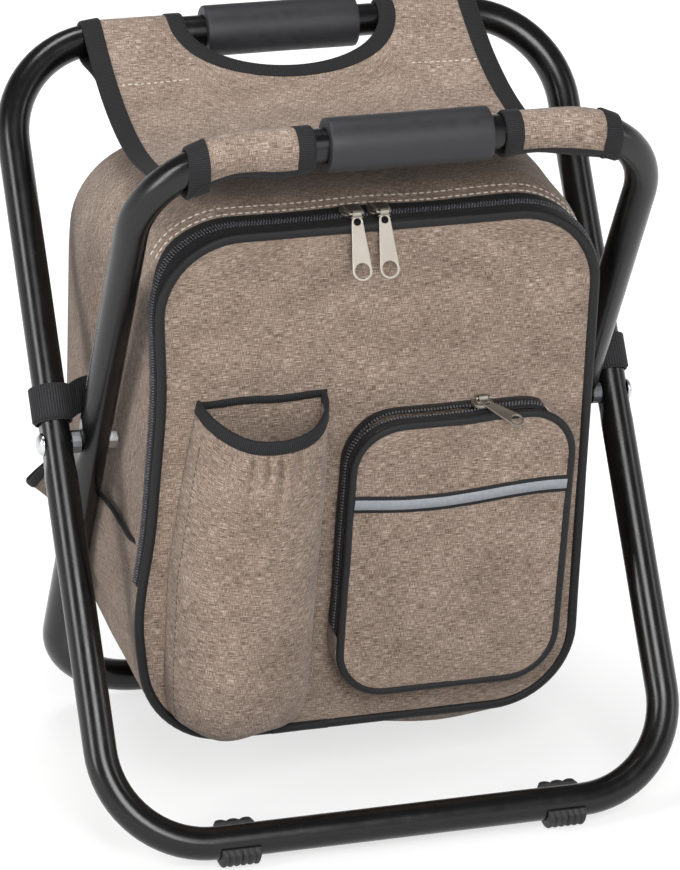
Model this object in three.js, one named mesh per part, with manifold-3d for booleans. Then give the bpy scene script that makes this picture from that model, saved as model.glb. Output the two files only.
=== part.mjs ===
// Folding cooler stool. Two crossed loops of bent steel tube are bolted together at their
// middles, a slack cloth seat is sleeved over their top bars, and a soft insulated bag hangs
// between them from two webbing straps. Millimetres, +Z up, front towards -Y, floor at z = 0.
import * as THREE from 'three';
import { mergeVertices } from 'three/addons/utils/BufferGeometryUtils.js';
import Module from 'manifold-3d';

const wasm = await Module();
wasm.setup();

// Clearances
const SEAT_GAP = 0.3; // between pieces that rest on each other
const RUNNING_GAP = 0.4; // round the pivot bolts

// Tube loops
const TUBE_DIAMETER = 19;
const TUBE_WALL = 1.2;
const BEND_RADIUS = 59;
const INNER_HALF_WIDTH = 146; // centre line of the inner loop's legs
const LOOP_GAP = 2.5; // between the legs of the two loops
const BAR_HALF_SPREAD = 126.5; // bars in front of and behind the pivot
const BAR_HALF_HEIGHT = 201; // bars above and below the pivot
const PRESS_DEPTH = 1.6; // the legs are pressed flat where the bolts pass
const PRESS_FLAT = 9; // half length of the flat
const PRESS_REACH = 18; // half length of flat and run-outs

// Pivot hardware
const BOLT_DIAMETER = 6;
const BOLT_HEAD_DIAMETER = 13;
const BOLT_HEAD_HEIGHT = 3.8;
const BOLT_END = 1; // thread beyond the nut
const NUT_ACROSS = 10;
const NUT_HEIGHT = 5;
const SPACER_DIAMETER = 13.5;

// Clip feet
const FOOT_HEIGHT = 4.5; // floor to the underside of the tube
const FOOT_LENGTH = 23;
const FOOT_BEND_GAP = 0.5; // between clip and bend
const FOOT_LOBES = 3;
const FOOT_LOBE_DEPTH = 1.7;
const FOOT_PAD = 0.4; // worn flat on the floor
const FOOT_MOUTH = [0, 128]; // open sector in degrees, from the outer side over the top

// Grips, sleeves and seat
const GRIP_DIAMETER = 30;
const GRIP_LENGTH = 92;
const GRIP_ROUND = 3.5;
const CLOTH = 1.6;
const FRONT_BARE = 8; // bare tube between grip and sleeve
const REAR_BARE = 16;
const FRONT_SLEEVE_BEND = 37; // degrees that a sleeve runs into the bend
const REAR_SLEEVE_BEND = 11;
const SEAT_SAG = 46;
const SEAT_CUTOUT_DEPTH = 50; // handle cut-outs, measured from the bars

// Cooler bag, in its own leaning frame with the pivot as origin
const BAG_LEAN = 7; // degrees, top towards the front
const BAG_SIDE_ROOM = 8; // between bag and inner loop
const BAG_TOP_ROOM = 51; // below the top bars
const BAG_FLOOR_ROOM = 35; // above the bottom bars
const BAG_FRONT_REACH = 66;
const BAG_DEPTH = 170;
const BAG_TOP_FALL = 12; // the top falls towards the back
const BAG_CORNER = 48;
const FABRIC = 1.5;
const FOAM = 6;
const LINER = 1.2;
const SEAM_ALLOWANCE = 6; // the flap's foam and liner stop this far inside the seam
const PIPING_DIAMETER = 4.2;
const PIPING_INSET = 0.8;
const HINGE_BELOW_PIVOT = 66; // the zipper ends here, and the front folds down about this line
const TAPE = 1.2;
const TAPE_INSET = 0.2;
const TAPE_FRONT_WIDTH = 9.8;
const TAPE_REAR_WIDTH = 14.5;
const COIL_GAP = 0.6;
const COIL_WIDTH = 1.6;
const COIL_HEIGHT = 0.7;

// Webbing straps round the outer legs
const STRAP_WIDTH = 26;
const STRAP_THICKNESS = 1.5;
const STRAP_ABOVE_PIVOT = 9;
const STRAP_TAB_WIDTH = 19;
const STRAP_TAB_THICKNESS = 2.4;
const STRAP_FOOT = 20; // sewn length on the bag's side

// Bottle pocket
const BOTTLE_MARGIN = 9.5; // from the bag's side
const BOTTLE_WIDTH = 94;
const BOTTLE_DEPTH = 46;
const BOTTLE_RIM = 48; // above the pivot
const BOTTLE_FLOOR_MARGIN = 14; // above the bag's bottom
const BOTTLE_BINDING_HEIGHT = 11;
const BINDING = 1;

// Zip pocket
const POCKET_GAP = 3; // between the two front pockets
const POCKET_MARGIN = 17.5; // from the bag's other side
const POCKET_TOP = 36; // above the pivot
const POCKET_FLOOR_MARGIN = 29; // above the bag's bottom
const POCKET_DEPTH = 20;
const POCKET_CORNER = 30;
const POCKET_WALL = 1.4;
const POCKET_PIPING_DIAMETER = 3.8;
const POCKET_TAPE_WIDTH = 10.4; // both zipper halves with the coil between them
const POCKET_ZIP_END = 98; // below the pivot, on the pocket's left side
const POCKET_SLIT = 5.7; // the zipper stands open on the left of its slider
const POCKET_SLIDER_X = 60;
const STRIP_BELOW_PIVOT = 13;
const STRIP_HEIGHT = 10;
const STRIP_THICKNESS = 0.6;
const STRIP_MARGIN = 3;

// Side slip pockets
const SIDE_POCKET_DEPTH = 4.6;
const SIDE_POCKET_WALL = 1.2;
const SIDE_POCKET_RIM = 45; // below the pivot
const SIDE_POCKET_HEIGHT = 69;
const SIDE_POCKET_FRONT = 21; // behind the bag's front
const SIDE_POCKET_BACK = 12; // in front of the bag's back
const SIDE_BINDING_HEIGHT = 5;
const SIDE_BINDING = 0.8;

// Zipper sliders and pulls
const SLIDER_LENGTH = 10;
const SLIDER_WIDTH = 8;
const SLIDER_PLATE = 1.8;
const SLIDER_PIN_RADIUS = 0.9;
const SLIDER_PIN_RISE = 6.8; // pin centre above the plate's underside
const SLIDER_POST = 1.5;
const SLIDER_NOSE = 12; // the pin of a main slider stands this far in front of the coil
const SLIDER_CENTRES = [-15.2, 0.6];
const PULL_LENGTH = 36;
const PULL_WIDTH = 11.5;
const PULL_NECK_SHARE = 0.58; // neck to widest part
const PULL_HOLE_SHARE = 0.62; // hole to widest part
const PULL_THICKNESS = 1.4;
const PULL_KNUCKLE_WALL = 0.9;
const POCKET_PULL_LENGTH = 25;
const POCKET_PULL_WIDTH = 8.5;
const POCKET_PULL_SWING = 48; // degrees towards the right

// Facets
const TUBE_SIDES = 14;
const BORE_SIDES = 8;
const ROUND_SIDES = 16;
const CORD_SIDES = 6;
const BEND_STEPS = 9;
const CORNER_STEPS = 5;
const SAG_STEPS = 12;
const SEAT_STEPS = 8; // across the seat

// Worked out from the sizes above
const TUBE_RADIUS = TUBE_DIAMETER / 2;
const OUTER_HALF_WIDTH = INNER_HALF_WIDTH + TUBE_DIAMETER + LOOP_GAP;
const PIVOT_Z = BAR_HALF_HEIGHT + TUBE_RADIUS + FOOT_HEIGHT;
const TOP_BAR_Z = PIVOT_Z + BAR_HALF_HEIGHT;
const BOTTOM_BAR_Z = PIVOT_Z - BAR_HALF_HEIGHT;
const LEG_ANGLE = Math.atan2(BAR_HALF_SPREAD, BAR_HALF_HEIGHT);
const HALF_LENGTH = Math.hypot(BAR_HALF_SPREAD, BAR_HALF_HEIGHT);
const PRESSED_HALF = TUBE_RADIUS - PRESS_DEPTH;
const SLEEVE_RADIUS = TUBE_RADIUS + SEAT_GAP + CLOTH;
const BAG_HALF_WIDTH = INNER_HALF_WIDTH - TUBE_RADIUS - BAG_SIDE_ROOM;
const BAG_TOP = BAR_HALF_HEIGHT - BAG_TOP_ROOM;
const BAG_BOTTOM = BAG_FLOOR_ROOM - BAR_HALF_HEIGHT;
const BAG_FRONT = -BAG_FRONT_REACH;
const BAG_BACK = BAG_FRONT + BAG_DEPTH;
const PIPING_RADIUS = PIPING_DIAMETER / 2;
const PANEL_INSET = PIPING_INSET + PIPING_RADIUS + SEAT_GAP;
const FLAP_FOAM_INSET = PANEL_INSET + SEAM_ALLOWANCE;
const PIPING_Y = PIPING_RADIUS / 3; // piping centre behind the panel's face
const TAPE_START = BAG_FRONT + PIPING_Y + PIPING_RADIUS + SEAT_GAP;
const COIL_Y = TAPE_START + TAPE_FRONT_WIDTH;
const TAPE_END = COIL_Y + COIL_GAP + TAPE_REAR_WIDTH;
const FOAM_INSET = TAPE_INSET + TAPE + SEAT_GAP;
const LINER_INSET = FOAM_INSET + FOAM + SEAT_GAP;
const HINGE_Z = -HINGE_BELOW_PIVOT;
const WIDE = 2.4 * OUTER_HALF_WIDTH; // larger than the stool, for cutting

const radians = (degrees) => THREE.MathUtils.degToRad(degrees);

const MATERIALS = {
  tube: new THREE.MeshStandardMaterial({ color: 0x1b1b1d, roughness: 0.3, metalness: 0.2 }),
  steel: new THREE.MeshStandardMaterial({ color: 0xc9c9cc, roughness: 0.3, metalness: 1 }),
  rubber: new THREE.MeshStandardMaterial({ color: 0x232325, roughness: 0.8, metalness: 0 }),
  foam: new THREE.MeshStandardMaterial({ color: 0x333335, roughness: 0.9, metalness: 0 }),
  cloth: new THREE.MeshStandardMaterial({ color: 0x968471, roughness: 0.9, metalness: 0 }),
  webbing: new THREE.MeshStandardMaterial({ color: 0x17171a, roughness: 0.8, metalness: 0 }),
  insulation: new THREE.MeshStandardMaterial({ color: 0xe9e7e1, roughness: 0.9, metalness: 0 }),
  liner: new THREE.MeshStandardMaterial({ color: 0xc3c6c9, roughness: 0.35, metalness: 0.4 }),
  reflector: new THREE.MeshStandardMaterial({ color: 0xa9b4bf, roughness: 0.35, metalness: 0.3 }),
  zinc: new THREE.MeshStandardMaterial({ color: 0xcdbf9f, roughness: 0.3, metalness: 1 }),
};

// Solids

// Wraps triangles as a solid, turned so that its faces point outwards.
function closedSolid(vertices, triangles) {
  const corner = (i) => new THREE.Vector3().fromArray(vertices, 3 * i);
  let volume = 0;
  for (let i = 0; i < triangles.length; i += 3) {
    const [a, b, c] = [corner(triangles[i]), corner(triangles[i + 1]), corner(triangles[i + 2])];
    volume += a.dot(b.cross(c));
  }
  const triVerts = Uint32Array.from(volume < 0 ? [...triangles].reverse() : triangles);
  const vertProperties = Float32Array.from(vertices);
  return new wasm.Manifold(new wasm.Mesh({ numProp: 3, vertProperties, triVerts }));
}

function solidOf(geometry) {
  geometry.deleteAttribute('normal');
  geometry.deleteAttribute('uv');
  const merged = mergeVertices(geometry);
  return closedSolid([...merged.attributes.position.array], [...merged.index.array]);
}

// Joins rings of points, in order. An open run gets a flat cap at each end.
function loft(rings, isLoop = false) {
  const count = rings[0].length;
  const vertices = rings.flat().flatMap((point) => [point.x, point.y, point.z]);
  const triangles = [];
  const spans = isLoop ? rings.length : rings.length - 1;
  for (let i = 0; i < spans; i++) {
    const next = (i + 1) % rings.length;
    for (let j = 0; j < count; j++) {
      const side = (j + 1) % count;
      const [a, b] = [i * count + j, i * count + side];
      const [c, d] = [next * count + j, next * count + side];
      triangles.push(a, b, d, a, d, c);
    }
  }
  if (!isLoop) {
    const end = (rings.length - 1) * count;
    for (let j = 1; j < count - 1; j++) {
      triangles.push(0, j + 1, j, end, end + j, end + j + 1);
    }
  }
  return closedSolid(vertices, triangles);
}

// A sheet between two grids of points, which lie above and below its middle.
function sheet(upperGrid, lowerGrid) {
  const [rows, columns] = [upperGrid.length, upperGrid[0].length];
  const vertices = [...upperGrid, ...lowerGrid].flat().flatMap((point) => [point.x, point.y, point.z]);
  const under = rows * columns;
  const triangles = [];
  const quad = (a, b, c, d) => triangles.push(a, b, c, a, c, d);
  const corner = (i, j) => i * columns + j;
  for (let i = 0; i < rows - 1; i++) {
    for (let j = 0; j < columns - 1; j++) {
      const [a, b, c, d] = [corner(i, j), corner(i, j + 1), corner(i + 1, j + 1), corner(i + 1, j)];
      quad(a, b, c, d);
      quad(under + d, under + c, under + b, under + a);
    }
  }
  const acrossRows = Array.from({ length: columns }, (_, j) => corner(0, j));
  const downColumns = Array.from({ length: rows - 1 }, (_, i) => corner(i + 1, columns - 1));
  const backRows = Array.from({ length: columns - 1 }, (_, j) => corner(rows - 1, columns - 2 - j));
  const upColumns = Array.from({ length: rows - 2 }, (_, i) => corner(rows - 2 - i, 0));
  const rim = [...acrossRows, ...downColumns, ...backRows, ...upColumns];
  rim.forEach((a, k) => {
    const b = rim[(k + 1) % rim.length];
    quad(a, under + a, under + b, b);
  });
  return closedSolid(vertices, triangles);
}

function box([x0, x1], [y0, y1], [z0, z1]) {
  const geometry = new THREE.BoxGeometry(x1 - x0, y1 - y0, z1 - z0);
  geometry.translate((x0 + x1) / 2, (y0 + y1) / 2, (z0 + z1) / 2);
  return solidOf(geometry);
}

// A round bar along X.
function rod(radius, [x0, x1], sides, y = 0, z = 0) {
  const geometry = new THREE.CylinderGeometry(radius, radius, x1 - x0, sides);
  geometry.rotateZ(Math.PI / 2);
  geometry.translate((x0 + x1) / 2, y, z);
  return solidOf(geometry);
}

// Turns a profile of [radius, distance along X] points about the X axis.
function turned(profile, sides) {
  const points = profile.map(([radius, along]) => new THREE.Vector2(radius, along));
  const geometry = new THREE.LatheGeometry(points, sides);
  geometry.rotateZ(-Math.PI / 2);
  return solidOf(geometry);
}

const above = (z) => box([-WIDE, WIDE], [-WIDE, WIDE], [z, WIDE]);
const below = (z) => box([-WIDE, WIDE], [-WIDE, WIDE], [-WIDE, z]);

function piece(group, name, solid, material) {
  const { vertProperties, triVerts } = solid.getMesh();
  const geometry = new THREE.BufferGeometry();
  geometry.setAttribute('position', new THREE.BufferAttribute(vertProperties, 3));
  geometry.setIndex(new THREE.BufferAttribute(triVerts, 1));
  geometry.computeVertexNormals();
  const mesh = new THREE.Mesh(geometry, material);
  mesh.name = name;
  group.add(mesh);
}

// Paths

// Stations round a rectangle with round corners in the XZ plane, each with its outward direction.
function roundedRectangle({ left, right, bottom, top, radius }, steps) {
  const corners = [
    [right - radius, top - radius],
    [left + radius, top - radius],
    [left + radius, bottom + radius],
    [right - radius, bottom + radius],
  ];
  return corners.flatMap(([cx, cz], quarter) => Array.from({ length: steps + 1 }, (_, i) => {
    const angle = (quarter + i / steps) * Math.PI / 2;
    const [nx, nz] = [Math.cos(angle), Math.sin(angle)];
    return { x: cx + radius * nx, z: cz + radius * nz, nx, nz };
  }));
}

// A ring of points round a station: a circle, held between flats at halfThickness.
function tubeRing(station, radius, sides, halfThickness = radius, y = 0) {
  return Array.from({ length: sides }, (_, k) => {
    const angle = 2 * Math.PI * k / sides;
    const across = THREE.MathUtils.clamp(radius * Math.cos(angle), -halfThickness, halfThickness);
    return new THREE.Vector3(
      station.x + station.nx * across,
      y + radius * Math.sin(angle),
      station.z + station.nz * across,
    );
  });
}

const mirrored = (stations) => stations.map((s) => ({ ...s, x: -s.x, nx: -s.nx }));

// Tube loops

// How far a leg is pressed in, at a height above or below the bolt.
function pressAt(station, halfWidth) {
  if (Math.abs(station.x) < halfWidth) return 0;
  const runOut = (PRESS_REACH - Math.abs(station.z)) / (PRESS_REACH - PRESS_FLAT);
  return PRESS_DEPTH * THREE.MathUtils.smoothstep(runOut, 0, 1);
}

function frameTube(halfWidth) {
  const outline = { left: -halfWidth, right: halfWidth, bottom: -HALF_LENGTH, top: HALF_LENGTH };
  const bends = roundedRectangle({ ...outline, radius: BEND_RADIUS }, BEND_STEPS);
  const half = bends.length / 2;
  const middle = (PRESS_REACH + PRESS_FLAT) / 2;
  const heights = [-PRESS_REACH, -middle, -PRESS_FLAT, PRESS_FLAT, middle, PRESS_REACH];
  const leg = heights.map((z) => ({ x: halfWidth, z, nx: 1, nz: 0 }));
  const stations = [...leg, ...bends.slice(0, half), ...mirrored(leg).reverse(), ...bends.slice(half)];
  const wall = (thickness, sides) => loft(stations.map((station) => {
    const halfThickness = TUBE_RADIUS - pressAt(station, halfWidth) - thickness;
    return tubeRing(station, TUBE_RADIUS - thickness, sides, halfThickness);
  }), true);
  const bolts = rod(BOLT_DIAMETER / 2 + RUNNING_GAP, [-WIDE, WIDE], ROUND_SIDES);
  return wall(0, TUBE_SIDES).subtract(wall(TUBE_WALL, BORE_SIDES)).subtract(bolts);
}

// Stations along the right half of a top bar, from x to some degrees into the bend.
function barStations(halfWidth, from, bendDegrees) {
  const bendX = halfWidth - BEND_RADIUS;
  const step = 90 / BEND_STEPS;
  const whole = Array.from({ length: Math.ceil(bendDegrees / step) }, (_, i) => i * step);
  const bend = [...whole, bendDegrees].map((degrees) => {
    const [nx, nz] = [Math.sin(radians(degrees)), Math.cos(radians(degrees))];
    return { x: bendX + BEND_RADIUS * nx, z: HALF_LENGTH - BEND_RADIUS * (1 - nz), nx, nz };
  });
  return [{ x: from, z: HALF_LENGTH, nx: 0, nz: 1 }, ...bend];
}

function sleeve(stations) {
  const skin = (radius) => loft(stations.map((s) => tubeRing(s, radius, TUBE_SIDES)));
  const first = stations[0];
  const last = stations[stations.length - 1];
  const past = (s, side) => ({ ...s, x: s.x + side * s.nz, z: s.z - side * s.nx });
  const outwards = Math.sign(first.x);
  const bore = [past(first, -outwards), ...stations, past(last, outwards)];
  const hole = loft(bore.map((s) => tubeRing(s, TUBE_RADIUS + SEAT_GAP, TUBE_SIDES)));
  return skin(SLEEVE_RADIUS).subtract(hole);
}

function grip() {
  const bore = TUBE_RADIUS + SEAT_GAP + 0.1;
  const outer = GRIP_DIAMETER / 2;
  const end = GRIP_LENGTH / 2;
  const soft = GRIP_ROUND * (1 - Math.SQRT1_2);
  const rim = [[outer - GRIP_ROUND, end], [outer - soft, end - soft], [outer, end - GRIP_ROUND]];
  const half = [[bore, end], ...rim];
  const mirror = half.map(([radius, along]) => [radius, -along]).reverse();
  return turned([...half, ...mirror, half[0]], TUBE_SIDES + 4);
}

// Clip feet

// A ribbed rubber clip round the bottom bar. It grips from the outer side under the bar to the top.
function foot(y) {
  const bore = TUBE_RADIUS + SEAT_GAP + 0.1;
  const outer = TUBE_RADIUS + FOOT_HEIGHT + FOOT_PAD;
  const pitch = FOOT_LENGTH / FOOT_LOBES;
  const steps = 4;
  const lobes = Array.from({ length: FOOT_LOBES * steps + 1 }, (_, i) => {
    const wave = Math.sqrt(Math.abs(Math.sin(Math.PI * i / steps)));
    return [outer - FOOT_LOBE_DEPTH * (1 - wave), pitch * i / steps - FOOT_LENGTH / 2];
  });
  const ends = [[bore, FOOT_LENGTH / 2], [bore, -FOOT_LENGTH / 2]];
  const ring = turned([...lobes, ...ends, lobes[0]], ROUND_SIDES);
  const reach = 2 * outer;
  const [from, to] = FOOT_MOUTH.map(radians);
  const fan = [0, 1, 2, 3].map((i) => from + (to - from) * i / 3);
  const rim = fan.map((angle) => [reach * Math.cos(angle), reach * Math.sin(angle)]);
  const sector = [[0, 0], ...rim].map(([dy, dz]) => [Math.sign(y) * dy, dz]);
  const slice = (along) => sector.map(([dy, dz]) => new THREE.Vector3(along, dy, dz));
  const mouth = loft([slice(-FOOT_LENGTH), slice(FOOT_LENGTH)]);
  const pad = box([-WIDE, WIDE], [-WIDE, WIDE], [-WIDE, -BOTTOM_BAR_Z]);
  return ring.subtract(mouth).subtract(pad);
}

// Pivot hardware, for the right side, along X in the outer loop's frame

const BOLT_SEAT = OUTER_HALF_WIDTH + PRESSED_HALF + SEAT_GAP;
const NUT_SEAT = INNER_HALF_WIDTH - PRESSED_HALF - SEAT_GAP;

function pivotBolt() {
  const shank = BOLT_DIAMETER / 2;
  const head = BOLT_HEAD_DIAMETER / 2;
  const top = BOLT_SEAT + BOLT_HEAD_HEIGHT;
  const edge = BOLT_SEAT + BOLT_HEAD_HEIGHT / 4;
  const end = NUT_SEAT - NUT_HEIGHT - BOLT_END;
  const dome = [80, 55, 30].map((degrees) => {
    const angle = radians(degrees);
    return [head * Math.sin(angle), edge + (top - edge) * Math.cos(angle)];
  });
  const profile = [[0, top], ...dome.reverse(), [head, edge], [head, BOLT_SEAT], [shank, BOLT_SEAT]];
  return turned([...profile, [shank, end], [0, end]], TUBE_SIDES);
}

function pivotNut() {
  const corner = NUT_ACROSS / Math.sqrt(3);
  const hexagon = rod(corner, [NUT_SEAT - NUT_HEIGHT, NUT_SEAT], 6);
  return hexagon.subtract(rod(BOLT_DIAMETER / 2 + SEAT_GAP, [-WIDE, WIDE], TUBE_SIDES));
}

function pivotSpacer() {
  const span = [
    INNER_HALF_WIDTH + PRESSED_HALF + SEAT_GAP,
    OUTER_HALF_WIDTH - PRESSED_HALF - SEAT_GAP,
  ];
  const disc = rod(SPACER_DIAMETER / 2, span, TUBE_SIDES);
  return disc.subtract(rod(BOLT_DIAMETER / 2 + SEAT_GAP, [-WIDE, WIDE], TUBE_SIDES));
}

// Seat

// The room round a whole top bar, as far as the cloth reaches, in the stool's frame.
function barRoom(halfWidth, bendDegrees, angle) {
  const right = barStations(halfWidth, 0, bendDegrees);
  const stations = [...mirrored(right).reverse(), ...right.slice(1)];
  return loft(stations.map((station) =>
    tubeRing(station, SLEEVE_RADIUS + SEAT_GAP, TUBE_SIDES).map((point) => {
      point.applyAxisAngle(new THREE.Vector3(1, 0, 0), angle);
      return point.setZ(point.z + PIVOT_Z);
    })));
}

// How far a bar has dropped along its leg at a distance x from its middle.
function barDrop(halfWidth, x) {
  const past = Math.max(0, Math.abs(x) - (halfWidth - BEND_RADIUS));
  return BEND_RADIUS - Math.sqrt(BEND_RADIUS ** 2 - past ** 2);
}

// One cloth panel that hangs in a slack curve between the two top bars, with a cut-out at each grip.
// Its edges follow the bars down into their bends.
function seatPanel() {
  const slope = Math.atan(2 * SEAT_SAG / BAR_HALF_SPREAD);
  const middle = SLEEVE_RADIUS - CLOTH; // the ends run into the sleeves
  const endY = BAR_HALF_SPREAD - middle * Math.sin(slope);
  const endZ = TOP_BAR_Z + middle * Math.cos(slope);
  const reachOf = (halfWidth, degrees) => halfWidth - BEND_RADIUS * (1 - Math.sin(radians(degrees)));
  const frontHalf = reachOf(INNER_HALF_WIDTH, FRONT_SLEEVE_BEND);
  const rearHalf = reachOf(OUTER_HALF_WIDTH, REAR_SLEEVE_BEND);
  const grid = (offset) => Array.from({ length: SAG_STEPS + 1 }, (_, i) => {
    const share = 2 * i / SAG_STEPS - 1;
    const tilt = Math.atan(2 * SEAT_SAG * share / endY);
    const [frontShare, rearShare] = [((1 - share) / 2) ** 2, ((1 + share) / 2) ** 2];
    return Array.from({ length: SEAT_STEPS + 1 }, (__, j) => {
      const across = 2 * j / SEAT_STEPS - 1;
      const frontDrop = frontShare * barDrop(INNER_HALF_WIDTH, across * frontHalf);
      const rearDrop = rearShare * barDrop(OUTER_HALF_WIDTH, across * rearHalf);
      const x = across * (frontHalf + (rearHalf - frontHalf) * (share + 1) / 2);
      const y = share * endY + (frontDrop - rearDrop) * Math.sin(LEG_ANGLE);
      const sag = SEAT_SAG * (1 - share * share);
      const z = endZ - sag - (frontDrop + rearDrop) * Math.cos(LEG_ANGLE);
      return new THREE.Vector3(x, y - offset * Math.sin(tilt), z + offset * Math.cos(tilt));
    });
  });
  const handle = (y, halfWidth) => {
    const geometry = new THREE.CylinderGeometry(1, 1, WIDE, ROUND_SIDES + 8);
    geometry.rotateX(Math.PI / 2);
    geometry.scale(halfWidth, SEAT_CUTOUT_DEPTH, 1);
    geometry.translate(0, y, TOP_BAR_Z);
    return solidOf(geometry);
  };
  return sheet(grid(CLOTH / 2), grid(-CLOTH / 2))
    .subtract(handle(-BAR_HALF_SPREAD, GRIP_LENGTH / 2 + FRONT_BARE))
    .subtract(handle(BAR_HALF_SPREAD, GRIP_LENGTH / 2 + REAR_BARE))
    .subtract(barRoom(INNER_HALF_WIDTH, FRONT_SLEEVE_BEND + 10, LEG_ANGLE))
    .subtract(barRoom(OUTER_HALF_WIDTH, REAR_SLEEVE_BEND + 10, -LEG_ANGLE));
}

// Strap on the right leg, in the outer loop's frame: a webbing loop with a tab sewn to the bag's side.
function bagStrap() {
  const bore = TUBE_RADIUS + SEAT_GAP;
  const [low, high] = [STRAP_ABOVE_PIVOT, STRAP_ABOVE_PIVOT + STRAP_WIDTH];
  const band = (radius, from, to) => loft([from, to].map((z) =>
    tubeRing({ x: OUTER_HALF_WIDTH, z, nx: 1, nz: 0 }, radius, TUBE_SIDES)));
  const side = BAG_HALF_WIDTH + SEAT_GAP;
  const tabZ = [high - STRAP_TAB_WIDTH, high];
  const tabY = [bore - STRAP_TAB_THICKNESS - 0.6, bore - 0.6];
  const tab = box([side, OUTER_HALF_WIDTH - bore / 3], tabY, tabZ);
  const sewn = box([side, side + STRAP_THICKNESS], [tabY[0], tabY[0] + STRAP_FOOT], tabZ);
  return band(bore + STRAP_THICKNESS, low, high)
    .add(tab)
    .add(sewn)
    .subtract(band(bore, low - 1, high + 1));
}

// Cooler bag, in the bag's frame

// The bag's outline at a depth y, inset from its outer face.
function bagOutline(inset, y) {
  const top = BAG_TOP - BAG_TOP_FALL * (y - BAG_FRONT) / BAG_DEPTH;
  const half = BAG_HALF_WIDTH - inset;
  const radius = BAG_CORNER - inset;
  const outline = { left: -half, right: half, bottom: BAG_BOTTOM + inset, top: top - inset, radius };
  return roundedRectangle(outline, CORNER_STEPS);
}

// A block between two depths, with an outline given as a function of depth.
const block = (outlineAt, [y0, y1]) => loft([y0, y1].map((y) =>
  outlineAt(y).map(({ x, z }) => new THREE.Vector3(x, y, z))));
const bagBlock = (inset, span) => block((y) => bagOutline(inset, y), span);

function bagWall(inset, thickness, [y0, y1]) {
  return bagBlock(inset, [y0, y1]).subtract(bagBlock(inset + thickness, [y0 - 1, y1 + 1]));
}

const cordRing = (stations, radius, y) =>
  loft(stations.map((station) => tubeRing(station, radius, CORD_SIDES, radius, y)), true);
const bagPiping = (y) => cordRing(bagOutline(PIPING_INSET, y), PIPING_RADIUS, y);

const upper = above(HINGE_Z + SEAT_GAP);
const lower = below(HINGE_Z - SEAT_GAP);

// Layers of the front, from the face inwards
const FRONT_FACE = [BAG_FRONT, BAG_FRONT + FABRIC];
const FRONT_FOAM = [FRONT_FACE[1] + SEAT_GAP, FRONT_FACE[1] + SEAT_GAP + FOAM];
const FRONT_LINER = [FRONT_FOAM[1] + SEAT_GAP, FRONT_FOAM[1] + SEAT_GAP + LINER];
const TUB_FRONT = FRONT_LINER[1] + SEAT_GAP;
const BACK_SEAM = BAG_BACK - PIPING_Y - PIPING_RADIUS - SEAT_GAP;
const BACK_FOAM = BACK_SEAM - FOAM;
const BACK_LINER = BACK_FOAM - SEAT_GAP - LINER;

function bagGusset() {
  const ring = bagWall(0, FABRIC, [TAPE_START, BACK_SEAM]);
  const zipperBand = box([-WIDE, WIDE], [-WIDE, TAPE_END + SEAT_GAP], [HINGE_Z, WIDE]);
  return ring.subtract(zipperBand);
}

// A tub of one layer: sides, back, and the low front wall under the fold line.
function tub(inset, thickness, back, frontInset, front) {
  const shell = bagBlock(inset, [TUB_FRONT, back[1]])
    .subtract(bagBlock(inset + thickness, [TUB_FRONT - 1, back[0]]));
  const wall = bagBlock(frontInset, [front[0], TUB_FRONT + 0.5])
    .subtract(bagBlock(inset + thickness, [front[1], TUB_FRONT + 1]))
    .intersect(lower);
  return shell.add(wall);
}

function zipperTape(span, coil) {
  const tape = bagWall(TAPE_INSET, TAPE, span);
  const bead = bagWall(TAPE_INSET - COIL_HEIGHT, TAPE + COIL_HEIGHT, coil);
  return tape.add(bead).intersect(upper);
}

// Bottle pocket: a gathered half-round sleeve, fuller above its drawn-in floor.
function bottlePocketSkin(offset, floor, rim, back) {
  const centre = -BAG_HALF_WIDTH + BOTTLE_MARGIN + BOTTLE_WIDTH / 2;
  const fullness = [[0, 0.78, 0.5], [0.04, 0.9, 0.76], [0.16, 0.98, 0.95], [0.5, 1, 0.98], [1, 1, 1]];
  const steps = 12;
  return loft(fullness.map(([height, width, depth]) => {
    const halfWidth = BOTTLE_WIDTH / 2 * width + offset;
    const bulge = BOTTLE_DEPTH * depth + offset;
    const z = floor + (rim - floor) * height;
    const arc = Array.from({ length: steps + 1 }, (_, i) => {
      const angle = Math.PI * i / steps;
      const y = BAG_FRONT - SEAT_GAP - bulge * Math.sqrt(Math.sin(angle));
      return new THREE.Vector3(centre + halfWidth * Math.cos(angle), y, z);
    });
    const [first, last] = [arc[0].clone().setY(back), arc[steps].clone().setY(back)];
    return [first, ...arc.slice(1, -1), last];
  }));
}

const BOTTLE_FLOOR = BAG_BOTTOM + BOTTLE_FLOOR_MARGIN;
const POCKET_BACK = BAG_FRONT - SEAT_GAP;

function bottlePocket() {
  const outer = bottlePocketSkin(0, BOTTLE_FLOOR, BOTTLE_RIM, POCKET_BACK);
  const inner = bottlePocketSkin(-FABRIC, BOTTLE_FLOOR + FABRIC, BOTTLE_RIM + FABRIC, POCKET_BACK + 1);
  return outer.subtract(inner);
}

function bottleBinding() {
  const offset = SEAT_GAP + BINDING;
  const top = BOTTLE_RIM + SEAT_GAP;
  const low = BOTTLE_RIM - BOTTLE_BINDING_HEIGHT;
  const strip = bottlePocketSkin(offset, BOTTLE_FLOOR, top + BINDING, POCKET_BACK)
    .subtract(bottlePocketSkin(SEAT_GAP, BOTTLE_FLOOR, top, POCKET_BACK + 1))
    .subtract(bottlePocketSkin(-FABRIC, BOTTLE_FLOOR, top + 2 * BINDING, POCKET_BACK + 1));
  return strip.intersect(above(low));
}

// Zip pocket

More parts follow.
